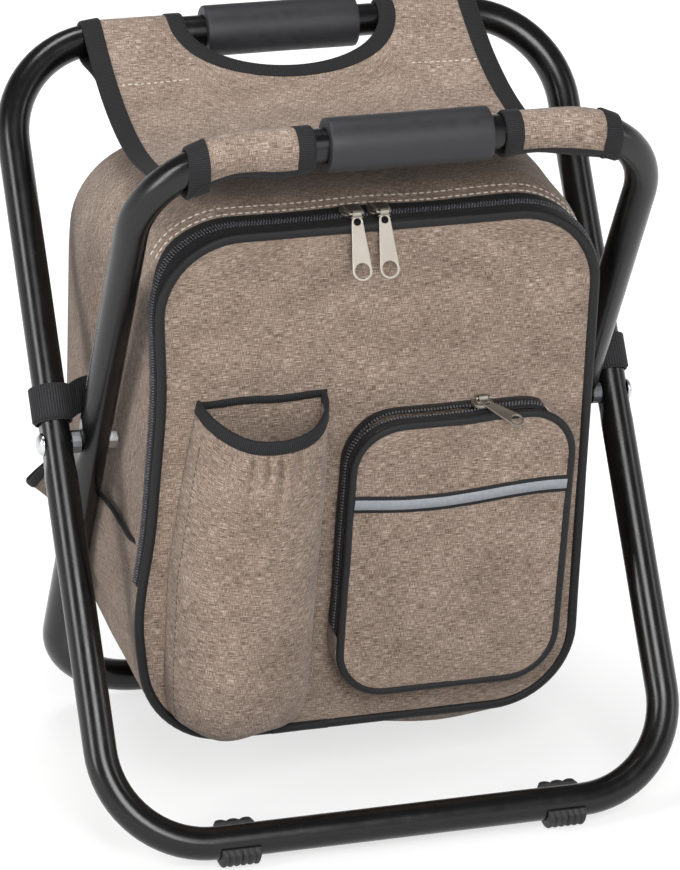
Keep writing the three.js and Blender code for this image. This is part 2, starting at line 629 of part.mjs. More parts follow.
const POCKET_LEFT = -BAG_HALF_WIDTH + BOTTLE_MARGIN + BOTTLE_WIDTH + POCKET_GAP;
const POCKET_RIGHT = BAG_HALF_WIDTH - POCKET_MARGIN;
const POCKET_BOTTOM = BAG_BOTTOM + POCKET_FLOOR_MARGIN;
const POCKET_FRONT = POCKET_BACK - POCKET_DEPTH;
const POCKET_PIPING_RADIUS = POCKET_PIPING_DIAMETER / 2;
const POCKET_PIPING_INSET = 0.6;
const POCKET_PANEL_INSET = POCKET_PIPING_INSET + POCKET_PIPING_RADIUS + SEAT_GAP;
const POCKET_PIPING_Y = POCKET_FRONT + POCKET_PIPING_RADIUS / 3;
const POCKET_RIM = POCKET_PIPING_Y + POCKET_PIPING_RADIUS + SEAT_GAP;
const POCKET_TAPE_BACK = POCKET_RIM + POCKET_TAPE_WIDTH;
const POCKET_COIL_Y = (POCKET_RIM + POCKET_TAPE_BACK) / 2;

function pocketOutline(inset) {
  const [left, right] = [POCKET_LEFT + inset, POCKET_RIGHT - inset];
  const [bottom, top] = [POCKET_BOTTOM + inset, POCKET_TOP - inset];
  return roundedRectangle({ left, right, bottom, top, radius: POCKET_CORNER - inset }, CORNER_STEPS);
}

const pocketBlock = (inset, span) => block(() => pocketOutline(inset), span);
const pocketWall = (inset, thickness, [y0, y1]) =>
  pocketBlock(inset, [y0, y1]).subtract(pocketBlock(inset + thickness, [y0 - 1, y1 + 1]));

// The stretch of the pocket's edge that holds its zipper: up the left side and along the top.
function pocketZipZone(gap) {
  const span = [POCKET_FRONT - 1, POCKET_TAPE_BACK + gap];
  const leftEnd = POCKET_LEFT + POCKET_CORNER;
  const side = box([-WIDE, leftEnd], span, [-POCKET_ZIP_END - gap, WIDE]);
  const rightEnd = POCKET_RIGHT - POCKET_CORNER / 2 + gap;
  const head = box([-WIDE, rightEnd], span, [POCKET_TOP - POCKET_CORNER, WIDE]);
  return side.add(head);
}

function pocketGusset() {
  return pocketWall(0, POCKET_WALL, [POCKET_RIM, POCKET_BACK]).subtract(pocketZipZone(SEAT_GAP));
}

function pocketTape(span) {
  const slit = box(
    [POCKET_LEFT + POCKET_CORNER * 0.6, POCKET_SLIDER_X - SLIDER_LENGTH / 2],
    [POCKET_COIL_Y - POCKET_SLIT / 2, POCKET_COIL_Y + POCKET_SLIT / 2],
    [POCKET_TOP - POCKET_CORNER, WIDE],
  );
  return pocketWall(0.1, TAPE, span).intersect(pocketZipZone(0)).subtract(slit);
}

function reflectiveStrip() {
  const face = POCKET_FRONT - SEAT_GAP;
  const z = -STRIP_BELOW_PIVOT;
  return box(
    [POCKET_LEFT + POCKET_PANEL_INSET + STRIP_MARGIN, POCKET_RIGHT - POCKET_PANEL_INSET - STRIP_MARGIN],
    [face - STRIP_THICKNESS, face],
    [z - STRIP_HEIGHT / 2, z + STRIP_HEIGHT / 2],
  );
}

// Side pockets, for the right side

const SIDE_INNER = BAG_HALF_WIDTH + SEAT_GAP;
const SIDE_OUTER = SIDE_INNER + SIDE_POCKET_DEPTH + SIDE_POCKET_WALL;
const SIDE_SPAN = [BAG_FRONT + SIDE_POCKET_FRONT, BAG_BACK - SIDE_POCKET_BACK];

function sidePocket() {
  const wall = SIDE_POCKET_WALL;
  const floor = -SIDE_POCKET_RIM - SIDE_POCKET_HEIGHT;
  const hollow = box(
    [0, SIDE_OUTER - wall],
    [SIDE_SPAN[0] + wall, SIDE_SPAN[1] - wall],
    [floor + wall, WIDE],
  );
  return box([SIDE_INNER, SIDE_OUTER], SIDE_SPAN, [floor, -SIDE_POCKET_RIM]).subtract(hollow);
}

function sideBinding() {
  const face = SIDE_OUTER + SEAT_GAP;
  const top = -SIDE_POCKET_RIM + SEAT_GAP;
  const height = [top - SIDE_BINDING_HEIGHT, top + SIDE_BINDING];
  const front = box([face, face + SIDE_BINDING], SIDE_SPAN, height);
  return front.add(box([SIDE_OUTER - SIDE_POCKET_WALL, face + 0.1], SIDE_SPAN, [top, top + SIDE_BINDING]));
}

// Zipper sliders and pulls, round the origin: the coil runs along X, and the pull lies towards -Y

function slider(nose) {
  const [length, width] = [SLIDER_LENGTH / 2, SLIDER_WIDTH / 2];
  const plan = new THREE.Shape();
  plan.moveTo(-length, -width * 0.6);
  plan.lineTo(-length * 0.3, -width);
  plan.lineTo(length * 0.6, -width);
  plan.quadraticCurveTo(length, 0, length * 0.6, width);
  plan.lineTo(-length * 0.3, width);
  plan.lineTo(-length, width * 0.6);
  plan.closePath();
  const plateForm = { depth: SLIDER_PLATE, bevelEnabled: false, curveSegments: 4 };
  const plate = new THREE.ExtrudeGeometry(plan, plateForm);
  const reach = length * 0.6;
  const post = (x) => box(
    [x - SLIDER_POST / 2, x + SLIDER_POST / 2],
    [-SLIDER_PIN_RADIUS, SLIDER_PIN_RADIUS],
    [SLIDER_PLATE / 2, SLIDER_PIN_RISE + SLIDER_PIN_RADIUS],
  );
  const arm = (x) => box(
    [x - SLIDER_POST / 2, x + SLIDER_POST / 2],
    [-nose - SLIDER_PIN_RADIUS, SLIDER_PIN_RADIUS],
    [SLIDER_PIN_RISE - SLIDER_PIN_RADIUS, SLIDER_PIN_RISE + SLIDER_PIN_RADIUS],
  );
  const side = reach + SLIDER_POST / 2;
  return solidOf(plate)
    .add(post(-side))
    .add(post(side))
    .add(arm(-side))
    .add(arm(side))
    .add(rod(SLIDER_PIN_RADIUS, [-reach - 1, reach + 1], 8, -nose, SLIDER_PIN_RISE));
}

// The angle at which a pull hangs down over a piping, from the pin's place above and behind its centre.
const restAngle = (rise, reach, radius) => {
  const clear = radius + SEAT_GAP + PULL_THICKNESS * 0.6;
  return Math.atan2(rise, reach) - Math.asin(clear / Math.hypot(rise, reach));
};

function pull(length, width, droop, swing) {
  const bore = SLIDER_PIN_RADIUS + SEAT_GAP + 0.05;
  const knuckle = bore + PULL_KNUCKLE_WALL;
  const wide = width / 2;
  const neck = wide * PULL_NECK_SHARE;
  const tip = new THREE.Shape();
  tip.moveTo(-neck, 0);
  tip.lineTo(-wide, -length + wide);
  tip.absarc(0, -length + wide, wide, Math.PI, 2 * Math.PI);
  tip.lineTo(neck, 0);
  tip.closePath();
  const hole = new THREE.Path();
  hole.absarc(0, -length + wide, wide * PULL_HOLE_SHARE, 0, 2 * Math.PI);
  tip.holes.push(hole);
  const root = knuckle * 0.7 + neck * Math.sin(radians(swing));
  const tabForm = { depth: PULL_THICKNESS, bevelEnabled: false, curveSegments: 8 };
  const tab = new THREE.ExtrudeGeometry(tip, tabForm);
  tab.translate(0, 0, -PULL_THICKNESS / 2);
  tab.rotateZ(radians(swing));
  tab.translate(0, -root, 0);
  tab.rotateX(droop);
  const half = SLIDER_LENGTH * 0.3 - SEAT_GAP;
  const web = new THREE.BoxGeometry(2 * half, root, PULL_THICKNESS);
  web.translate(0, -root / 2 - 0.5, 0);
  web.rotateX(droop);
  return solidOf(tab)
    .add(solidOf(web))
    .add(rod(knuckle, [-half, half], 10))
    .subtract(rod(bore, [-WIDE, WIDE], 10));
}

// Assembly

const stool = new THREE.Group();
const frameGroup = (angle) => {
  const group = new THREE.Group();
  group.position.z = PIVOT_Z;
  group.rotation.x = angle;
  stool.add(group);
  return group;
};
const outerLoop = frameGroup(-LEG_ANGLE);
const innerLoop = frameGroup(LEG_ANGLE);
const bag = frameGroup(radians(BAG_LEAN));
const flap = new THREE.Group();
bag.add(flap);
const seat = new THREE.Group();
stool.add(seat);

const at = (group, x, y, z) => {
  const spot = new THREE.Group();
  spot.position.set(x, y, z);
  group.add(spot);
  return spot;
};
const SIDES = [['left', -1], ['right', 1]];
const FOOT_BARS = [
  ['front', OUTER_HALF_WIDTH, -BAR_HALF_SPREAD],
  ['rear', INNER_HALF_WIDTH, BAR_HALF_SPREAD],
];
const flip = (solid, side) => {
  if (side > 0) return solid;
  const { vertProperties, triVerts } = solid.getMesh();
  const vertices = [...vertProperties].map((value, i) => (i % 3 === 0 ? -value : value));
  return closedSolid(vertices, [...triVerts]);
};

piece(outerLoop, 'outer_frame_tube', frameTube(OUTER_HALF_WIDTH), MATERIALS.tube);
piece(innerLoop, 'inner_frame_tube', frameTube(INNER_HALF_WIDTH), MATERIALS.tube);
piece(at(outerLoop, 0, 0, HALF_LENGTH), 'grip_rear', grip(), MATERIALS.foam);
piece(at(innerLoop, 0, 0, HALF_LENGTH), 'grip_front', grip(), MATERIALS.foam);

const rearSleeve = barStations(OUTER_HALF_WIDTH, GRIP_LENGTH / 2 + REAR_BARE, REAR_SLEEVE_BEND);
const frontSleeve = barStations(INNER_HALF_WIDTH, GRIP_LENGTH / 2 + FRONT_BARE, FRONT_SLEEVE_BEND);
for (const [label, side] of SIDES) {
  const turn = (stations) => (side > 0 ? stations : mirrored(stations));
  piece(outerLoop, `seat_sleeve_rear_${label}`, sleeve(turn(rearSleeve)), MATERIALS.cloth);
  piece(innerLoop, `seat_sleeve_front_${label}`, sleeve(turn(frontSleeve)), MATERIALS.cloth);
  for (const [end, halfWidth, y] of FOOT_BARS) {
    const x = halfWidth - BEND_RADIUS - FOOT_LENGTH / 2 - FOOT_BEND_GAP;
    piece(at(seat, side * x, y, BOTTOM_BAR_Z), `foot_${end}_${label}`, foot(y), MATERIALS.rubber);
  }
  piece(outerLoop, `pivot_bolt_${label}`, flip(pivotBolt(), side), MATERIALS.steel);
  piece(outerLoop, `pivot_nut_${label}`, flip(pivotNut(), side), MATERIALS.steel);
  piece(outerLoop, `pivot_spacer_${label}`, flip(pivotSpacer(), side), MATERIALS.steel);
  piece(outerLoop, `bag_strap_${label}`, flip(bagStrap(), side), MATERIALS.webbing);
  piece(bag, `side_pocket_${label}`, flip(sidePocket(), side), MATERIALS.cloth);
  piece(bag, `side_pocket_binding_${label}`, flip(sideBinding(), side), MATERIALS.webbing);
}
piece(seat, 'seat_panel', seatPanel(), MATERIALS.cloth);

const frontPanel = bagBlock(PANEL_INSET, FRONT_FACE);
const frontPiping = bagPiping(BAG_FRONT + PIPING_Y);
piece(bag, 'bag_gusset', bagGusset(), MATERIALS.cloth);
piece(bag, 'bag_back_panel', bagBlock(PANEL_INSET, [BAG_BACK - FABRIC, BAG_BACK]), MATERIALS.cloth);
piece(bag, 'bag_back_piping', bagPiping(BAG_BACK - PIPING_Y), MATERIALS.webbing);
piece(bag, 'bag_front_panel', frontPanel.intersect(lower), MATERIALS.cloth);
piece(bag, 'bag_front_piping', frontPiping.intersect(lower), MATERIALS.webbing);
const backFoam = [BACK_FOAM, BACK_FOAM + FOAM];
const backLiner = [BACK_LINER, BACK_LINER + LINER];
const foamTub = tub(FOAM_INSET, FOAM, backFoam, PANEL_INSET, FRONT_FOAM);
piece(bag, 'bag_insulation', foamTub, MATERIALS.insulation);
piece(bag, 'bag_liner', tub(LINER_INSET, LINER, backLiner, LINER_INSET, FRONT_LINER), MATERIALS.liner);
const rearCoil = COIL_Y + COIL_GAP;
piece(bag, 'main_zipper_bag_tape',
  zipperTape([rearCoil, TAPE_END], [rearCoil, rearCoil + COIL_WIDTH]), MATERIALS.webbing);

piece(flap, 'flap_panel', frontPanel.intersect(upper), MATERIALS.cloth);
piece(flap, 'flap_piping', frontPiping.intersect(upper), MATERIALS.webbing);
const flapFoam = bagBlock(FLAP_FOAM_INSET, FRONT_FOAM).intersect(upper);
piece(flap, 'flap_insulation', flapFoam, MATERIALS.insulation);
piece(flap, 'flap_liner', bagBlock(FLAP_FOAM_INSET, FRONT_LINER).intersect(upper), MATERIALS.liner);
piece(flap, 'main_zipper_flap_tape',
  zipperTape([TAPE_START, COIL_Y], [COIL_Y - COIL_WIDTH, COIL_Y]), MATERIALS.webbing);
piece(flap, 'bottle_pocket', bottlePocket(), MATERIALS.cloth);
piece(flap, 'bottle_pocket_binding', bottleBinding(), MATERIALS.webbing);
piece(flap, 'zip_pocket_gusset', pocketGusset(), MATERIALS.cloth);
piece(flap, 'zip_pocket_front',
  pocketBlock(POCKET_PANEL_INSET, [POCKET_FRONT, POCKET_FRONT + FABRIC]), MATERIALS.cloth);
piece(flap, 'zip_pocket_piping',
  cordRing(pocketOutline(POCKET_PIPING_INSET), POCKET_PIPING_RADIUS, POCKET_PIPING_Y), MATERIALS.webbing);
piece(flap, 'zip_pocket_front_tape',
  pocketTape([POCKET_RIM + SEAT_GAP, POCKET_COIL_Y - COIL_GAP / 2]), MATERIALS.webbing);
piece(flap, 'zip_pocket_rear_tape',
  pocketTape([POCKET_COIL_Y + COIL_GAP / 2, POCKET_TAPE_BACK]), MATERIALS.webbing);
piece(flap, 'reflective_strip', reflectiveStrip(), MATERIALS.reflector);

const coilCentre = COIL_Y + COIL_GAP / 2;
const coilTop = BAG_TOP - BAG_TOP_FALL * (coilCentre - BAG_FRONT) / BAG_DEPTH - TAPE_INSET + COIL_HEIGHT;
const mainRise = coilTop + SEAT_GAP + SLIDER_PIN_RISE - (BAG_TOP - PIPING_INSET);
const mainDroop = restAngle(mainRise, coilCentre - SLIDER_NOSE - BAG_FRONT - PIPING_Y, PIPING_RADIUS);
SIDES.forEach(([label], i) => {
  const spot = at(flap, SLIDER_CENTRES[i], coilCentre, coilTop + SEAT_GAP);
  piece(spot, `main_slider_${label}`, slider(SLIDER_NOSE), MATERIALS.zinc);
  const hanging = pull(PULL_LENGTH, PULL_WIDTH, mainDroop, 0);
  piece(at(spot, 0, -SLIDER_NOSE, SLIDER_PIN_RISE), `main_pull_${label}`, hanging, MATERIALS.zinc);
});
const pocketRise = SEAT_GAP + SLIDER_PIN_RISE + POCKET_PIPING_INSET;
const pocketDroop = restAngle(pocketRise, POCKET_COIL_Y - POCKET_PIPING_Y, POCKET_PIPING_RADIUS);
const pocketSpot = at(flap, POCKET_SLIDER_X, POCKET_COIL_Y, POCKET_TOP + SEAT_GAP);
piece(pocketSpot, 'pocket_slider', slider(0), MATERIALS.zinc);
piece(at(pocketSpot, 0, 0, SLIDER_PIN_RISE), 'pocket_pull',
  pull(POCKET_PULL_LENGTH, POCKET_PULL_WIDTH, pocketDroop, POCKET_PULL_SWING), MATERIALS.zinc);

export default stool;
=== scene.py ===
# %% [markdown]
# # A folding cooler stool
# Two bent tube loops cross at a pivot and carry a sagging cloth seat. A soft cooler bag hangs between them.
# The CAD part gives the frame, the joints and the sizes. This lesson puts the looks on that frame.
# Hard pieces get smooth surfaces and fine edges, and the cloth gets its sag, folds, bindings and stitches.

# %% Open the frame
import math

import bpy
import numpy as np
from mathutils import Matrix, Vector, noise


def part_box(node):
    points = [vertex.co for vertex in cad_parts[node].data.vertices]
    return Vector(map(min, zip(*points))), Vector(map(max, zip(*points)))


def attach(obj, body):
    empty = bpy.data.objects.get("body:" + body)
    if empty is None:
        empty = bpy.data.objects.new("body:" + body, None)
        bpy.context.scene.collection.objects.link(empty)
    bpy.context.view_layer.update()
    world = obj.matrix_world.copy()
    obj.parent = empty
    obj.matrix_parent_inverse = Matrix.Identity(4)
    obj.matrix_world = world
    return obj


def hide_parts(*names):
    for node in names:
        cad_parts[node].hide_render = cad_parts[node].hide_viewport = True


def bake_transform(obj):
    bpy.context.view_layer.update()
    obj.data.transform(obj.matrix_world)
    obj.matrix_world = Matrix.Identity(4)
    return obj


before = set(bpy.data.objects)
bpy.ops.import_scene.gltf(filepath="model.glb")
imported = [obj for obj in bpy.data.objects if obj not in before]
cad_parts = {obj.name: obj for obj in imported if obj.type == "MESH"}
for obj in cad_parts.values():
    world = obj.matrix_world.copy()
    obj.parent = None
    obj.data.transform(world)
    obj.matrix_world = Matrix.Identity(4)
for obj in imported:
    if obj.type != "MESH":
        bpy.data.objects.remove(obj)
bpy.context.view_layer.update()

# %% [markdown]
# ## Sizes
# Every number is in millimetres and is the CAD part's own size, so the looks land on the frame.
# The bag leans forward by a few degrees, so it has its own axes: x across, u from front to back, w up.

# %% Sizes in millimetres
MM = 0.001
TUBE_R = 9.5
BEND_R = 59.0
PIVOT_Z = 215.0
REACH = 237.5
LEG_ANGLE = math.radians(32.18)
LEG_Y, LEG_Z = math.sin(LEG_ANGLE), math.cos(LEG_ANGLE)
OUTER_X = 167.5
INNER_X = 146.0
BAR_Y = 126.5
TOP_Z = 416.0
FLOOR_BAR_Z = 14.0
LEAN = math.radians(7.0)
BAG_X = 128.5
BAG_FRONT = -66.0
BAG_BACK = 104.0
BAG_TOP = 150.0
BAG_FALL = 12.0
BAG_BOTTOM = -166.0
BAG_CORNER = 48.0
FOLD_W = -66.0
SEAT_CLOTH, WALL_CLOTH, PANEL_CLOTH, POCKET_CLOTH = 1.1, 1.3, 1.2, 1.0
HANDS = (("left", -1), ("right", 1))


def bag_point(x, u, w):
    """A point of the leaning bag, as x, y, z of the stool."""
    y = u * math.cos(LEAN) - w * math.sin(LEAN)
    z = PIVOT_Z + u * math.sin(LEAN) + w * math.cos(LEAN)
    return np.stack(np.broadcast_arrays(x, y, z), axis=-1).astype(float)


def bag_way(x, u, w):
    """A direction of the leaning bag."""
    return bag_point(x, u, w) - bag_point(0, 0, 0)


depth_axis = bag_way(0, 1.0, 0)


def smooth(low, high, value):
    """0 below low, 1 above high and an easy slope between."""
    t = np.clip((np.asarray(value, float) - low) / (high - low), 0, 1)
    return t * t * (3 - 2 * t)


def ripple(points, size, seed=0.0):
    """Soft random heights from -1 to 1 over points, with hills of that size."""
    flat = np.asarray(points, float).reshape(-1, 3) / size
    heights = [noise.noise(Vector(p) + Vector((seed, 2 * seed, 3 * seed))) for p in flat]
    return np.array(heights).reshape(np.asarray(points).shape[:-1])


def unit(vectors):
    vectors = np.asarray(vectors, float)
    return vectors / np.maximum(np.linalg.norm(vectors, axis=-1, keepdims=True), 1e-9)


def closed(points):
    """Points with the first one again at the end."""
    return np.concatenate([points, points[:1]])


def follow(where, stations, points):
    """Points read off a polyline whose corners have those stations."""
    return np.stack([np.interp(where, stations, points[:, k]) for k in range(3)], axis=-1)


def facing_of(places):
    """Directions square to a grid of places."""
    return unit(np.cross(np.gradient(places, axis=0), np.gradient(places, axis=1)))


# %% [markdown]
# ## Making sheets, bands and cords
# A cloth panel starts as a flat grid. Each of its points is then moved to its place, like sculpting by rule.
# The grid keeps a UV map in real metres, so the weave has the same thread size on every panel.
# A band is a grid too: its cross-section is carried along a path, its seam is merged and its ends are filled.

# %% Helpers for sheets
def mode(name):
    if bpy.context.mode != name:
        bpy.ops.object.mode_set(mode=name)


def unselect():
    mode("OBJECT")
    bpy.ops.object.select_all(action="DESELECT")


def pick(obj):
    unselect()
    obj.select_set(True)
    bpy.context.view_layer.objects.active = obj


def soften(obj, degrees):
    """Smooth shading that keeps edges sharper than this angle."""
    pick(obj)
    bpy.ops.object.shade_smooth_by_angle(angle=math.radians(degrees))


def edit_all(merge=False, fill=False):
    """Merges the active mesh's doubled points, fills its open ends and turns its faces outward."""
    mode("EDIT")
    bpy.ops.mesh.select_all(action="SELECT")
    if merge:
        bpy.ops.mesh.remove_doubles(threshold=1e-6)
    if fill:
        bpy.ops.mesh.fill_holes(sides=0)
    bpy.ops.mesh.normals_make_consistent(inside=False)
    mode("OBJECT")


def drape(name, places, cut=None, merge=False):
    """A grid whose points go to places[row][column], in mm. cut marks faces to leave out."""
    places = np.asarray(places, float)
    rows, columns = places.shape[0] - 1, places.shape[1] - 1
    unselect()
    bpy.ops.mesh.primitive_grid_add(x_subdivisions=columns, y_subdivisions=rows, size=1)
    obj = bpy.context.object
    obj.name = obj.data.name = name
    mesh = obj.data
    row, column = np.divmod(np.arange(len(mesh.vertices)), columns + 1)
    mesh.vertices.foreach_set("co", (places[row, column] * MM).ravel())
    widths = np.linalg.norm(np.diff(places, axis=1), axis=-1).mean(axis=0)
    lengths = np.linalg.norm(np.diff(places, axis=0), axis=-1).mean(axis=1)
    u, v = (np.concatenate([[0], np.cumsum(steps)]) * MM for steps in (widths, lengths))
    corner = np.empty(len(mesh.loops), int)
    mesh.loops.foreach_get("vertex_index", corner)
    uv = np.stack([u[column[corner]], v[row[corner]]], axis=-1)
    mesh.uv_layers[0].data.foreach_set("uv", uv.ravel())
    if cut is not None:
        mode("EDIT")
        bpy.ops.mesh.select_all(action="DESELECT")
        mode("OBJECT")
        for face in mesh.polygons:
            face.select = bool(cut[min(row[face.vertices]), min(column[face.vertices])])
        mode("EDIT")
        bpy.ops.mesh.select_mode(type="FACE")
        bpy.ops.mesh.delete(type="FACE")
        bpy.ops.mesh.select_mode(type="VERT")
        mode("OBJECT")
    edit_all(merge)
    bpy.ops.object.shade_smooth()
    return obj


def thicken(obj, thickness, offset=0.0):
    """Gives a sheet its cloth thickness, in mm."""
    pick(obj)
    modifier = obj.modifiers.new("cloth", "SOLIDIFY")
    modifier.thickness = thickness * MM
    modifier.offset = offset
    modifier.use_even_offset = False
    bpy.ops.object.modifier_apply(modifier="cloth")
    return obj


# %% Helpers for bands and tapes
def sweep(name, origins, side, up, section, ring=False):
    """Carries a closed cross-section of (across, above) points along a path of frames."""
    origins, side, up = np.broadcast_arrays(origins, side, up)
    shape = closed(np.array(section, float))
    places = origins[:, None] + shape[:, :1] * side[:, None] + shape[:, 1:] * up[:, None]
    obj = drape(name, closed(places) if ring else places, merge=True)
    if not ring:
        edit_all(fill=True)
    soften(obj, 50)
    return obj


def along(points, normals, ring=False):
    """Frames of a path: points, side directions and normals."""
    if ring:
        forward = np.roll(points, -1, 0) - np.roll(points, 1, 0)
    else:
        forward = np.gradient(points, axis=0)
    forward = unit(forward)
    side = unit(np.cross(normals, forward))
    return points, side, unit(np.cross(forward, side))


def tape(width, thickness):
    """Cross-section of a flat band with eased edges."""
    a, b = width / 2, thickness / 2
    ease = min(b, 0.4)
    half = [(-a, -b + ease), (-a, b - ease), (-a + ease, b), (a - ease, b)]
    return half + [(-x, -y) for x, y in half]


def folded(width):
    """Cross-section of a tape folded over a cloth edge: inward and above."""
    upper = [(width, 0.75), (width, 1.15), (width - 0.6, 1.35), (1.2, 1.35), (0.1, 1.1), (-0.5, 0.5)]
    return upper + [(a, -b) for a, b in upper[::-1]]


def edge_tape(name, points, inward, normals, width):
    """A tape folded over the edge of a cloth."""
    forward = unit(np.gradient(points, axis=0))
    normals = unit(normals - forward * (normals * forward).sum(-1, keepdims=True))
    side = unit(np.cross(normals, forward))
    if (side * inward).sum() < 0:
        side = -side
    return sweep(name, points, side, normals, folded(width))


# %% Helpers for cords, plates and turned pieces
def draw_curve(name, lines, dimensions, bevel, bevel_steps, ring, **settings):
    """Lines of points, in mm, as one curve with a round bevel, turned into a mesh."""
    unselect()
    bpy.ops.curve.primitive_bezier_curve_add()
    obj = bpy.context.object
    obj.name = obj.data.name = name
    curve = obj.data
    curve.splines.clear()
    for line in lines:
        spline = curve.splines.new("POLY")
        spline.points.add(len(line) - 1)
        for spot, place in zip(spline.points, line):
            spot.co = (*(np.asarray(place) * MM), 1)
        spline.use_cyclic_u = ring
    curve.dimensions = dimensions
    curve.bevel_depth = bevel * MM
    curve.bevel_resolution = bevel_steps
    for key, value in settings.items():
        setattr(curve, key, value)
    bpy.ops.object.convert(target="MESH")
    return bpy.context.object


def cord(name, points, radius, ring=False, sides=5):
    """A round cord through points."""
    made = draw_curve(name, [points], "3D", radius, sides, ring, use_fill_caps=not ring)
    bpy.ops.object.shade_smooth()
    return made


def stamped(name, loops, thickness, ease):
    """A plate from closed loops of (x, y): the first is its outline, the others are holes."""
    flat = [[(a, b, 0) for a, b in loop] for loop in loops]
    extrude = (thickness / 2 - ease) * MM
    made = draw_curve(name, flat, "2D", ease, 2, True, fill_mode="BOTH", extrude=extrude)
    edit_all(merge=True)
    soften(made, 12)
    return made


def turned(name, profile, origin, axis, steps=40):
    """A turned piece: profile of (along, radius) points, in mm, spun about a level axis."""
    start = np.array([0.0, 0.0, 1.0])
    angle = np.linspace(0, 2 * math.pi, steps + 1)[:, None]
    rim = np.cos(angle) * start + np.sin(angle) * np.cross(axis, start)
    obj = drape(name, [np.asarray(origin) + a * np.asarray(axis) + r * rim for a, r in profile], merge=True)
    soften(obj, 40)
    return obj


# %% Helpers for beads and stitches
def beads(name, line, normals, size, gap, start=0.0, ways=None):
    """One mesh of beads every gap mm along a line, with half a bead's length, width and height as size.

    A bead lies along the line, or along ways where they are given.
    """
    length = np.concatenate([[0], np.cumsum(np.linalg.norm(np.diff(line, axis=0), axis=1))])
    where = np.arange(start + gap / 2, length[-1], gap)
    forward = unit(follow(where + 0.5, length, line) - follow(where - 0.5, length, line))
    index, stations = where / length[-1] * (len(line) - 1), np.arange(len(line))
    up = follow(index, stations, normals)
    if ways is not None:
        forward = unit(follow(index, stations, ways))
    side = unit(np.cross(up, forward))
    turns = np.stack([forward, side, np.cross(forward, side)], axis=1)
    unselect()
    bpy.ops.mesh.primitive_uv_sphere_add(segments=6, ring_count=4, radius=MM)
    obj = bpy.context.object
    obj.name = obj.data.name = name
    mesh = obj.data
    base = np.array([vertex.co for vertex in mesh.vertices]) * size
    faces = [tuple(face.vertices) for face in mesh.polygons]
    corners = (follow(where, length, line)[:, None] * MM + base @ turns).reshape(-1, 3)
    copies = [tuple(i + k * len(base) for i in face) for k in range(len(where)) for face in faces]
    mesh.clear_geometry()
    mesh.from_pydata(corners.tolist(), [], copies)
    mesh.shade_smooth()
    return obj


def stitches(name, line, normals, sizes):
    """A row of stitches on a cloth along a line, with their length, gap and half thickness as sizes."""
    length, gap, thick = sizes
    return beads(name, line, normals, (length / 2, 1.25 * thick, 0.9 * thick), gap)


# %% Helpers for finished pieces
def keep(obj, material, slot=None, body=None, across=None, stands_for=()):
    """Paints a finished piece and fixes it to its CAD body. A piece across two bodies gets its placement
    baked into its mesh and is fixed to neither.
    """
    obj.data.materials.clear()
    obj.data.materials.append(material)
    if body:
        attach(obj, body)
    if across:
        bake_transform(obj)
    if stands_for:
        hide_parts(*stands_for)
    return obj


def sew(name, places, thickness, material, slot="cloth", offset=0.0, merge=False, **fixed):
    """A sheet with its thickness in mm, painted and fixed as a finished piece."""
    sheet = thicken(drape(name, places, merge=merge), thickness, offset)
    return keep(sheet, material, slot, **fixed)


def join(name, pieces):
    """Several meshes as one object."""
    unselect()
    for one in pieces:
        one.select_set(True)
    bpy.context.view_layer.objects.active = pieces[0]
    bpy.ops.object.join()
    obj = bpy.context.object
    obj.name = obj.data.name = name
    return obj


# %% [markdown]
# ## Materials
# Each finish is named after what it is on the real stool. The cloth is a melange canvas: thin light and dark
# threads run across and up, so two stretched noise patterns are mixed, one for each thread direction.
# Threads are drawn a little coarser than the real ones, so that they still show in a small picture.

# %% Shader nodes
WEFT, WARP, PATCHES, GRAIN = (170.0, 3700.0), (3700.0, 280.0), (30.0, 45.0), (900.0, 900.0)  # hills a metre


def linear(code):
    """A colour such as #968471 as linear light."""
    parts = [int(code[i:i + 2], 16) / 255 for i in (1, 3, 5)]
    return (*(c / 12.92 if c <= 0.04045 else ((c + 0.055) / 1.055) ** 2.4 for c in parts), 1.0)


def add(tree, kind, inputs=None, **settings):
    """Adds a node. Inputs are values or other nodes' outputs."""
    node = tree.nodes.new(kind)
    for name, value in settings.items():
        setattr(node, name, value)
    for name, value in (inputs or {}).items():
        if isinstance(value, bpy.types.NodeSocket):
            tree.links.new(value, node.inputs[name])
        else:
            node.inputs[name].default_value = value
    return node


def finish_of(name, colour, roughness, **more):
    """A plain finish. More names inputs of the shader with _ for spaces."""
    made = bpy.data.materials.new(name)
    made.use_nodes = True
    shader = made.node_tree.nodes["Principled BSDF"]
    shader.inputs["Base Color"].default_value = linear(colour)
    shader.inputs["Roughness"].default_value = roughness
    for key, value in more.items():
        shader.inputs[key.replace("_", " ")].default_value = value
    return made, made.node_tree, shader


def feed(tree, shader, colour, height, strength, distance):
    """Gives a shader its colour pattern and a bump from a height pattern, with the distance in mm."""
    bump = add(tree, "ShaderNodeBump", {"Height": height, "Strength": strength, "Distance": distance * MM})
    tree.links.new(colour, shader.inputs["Base Color"])
    tree.links.new(bump.outputs["Normal"], shader.inputs["Normal"])


def ramp(tree, factor, stops):
    """A colour ramp with (place, colour) stops."""
    node = add(tree, "ShaderNodeValToRGB", {"Fac": factor})
    scale = node.color_ramp
    while len(scale.elements) < len(stops):
        scale.elements.new(0.5)
    for element, (place, colour) in zip(scale.elements, stops):
        element.position = place
        element.color = linear(colour)
    return node.outputs["Color"]


def hills(tree, where, scale, detail):
    inputs = {"Vector": where, "Scale": scale, "Detail": detail}
    return add(tree, "ShaderNodeTexNoise", inputs).outputs["Fac"]


def stretched(tree, scale, detail=2.0):
    """Noise on the UV map, with that many hills a metre along u and v."""
    where = add(tree, "ShaderNodeTexCoord").outputs["UV"]
    place = add(tree, "ShaderNodeMapping", {"Vector": where, "Scale": (*scale, 1.0)})
    return hills(tree, place.outputs["Vector"], 1.0, detail)


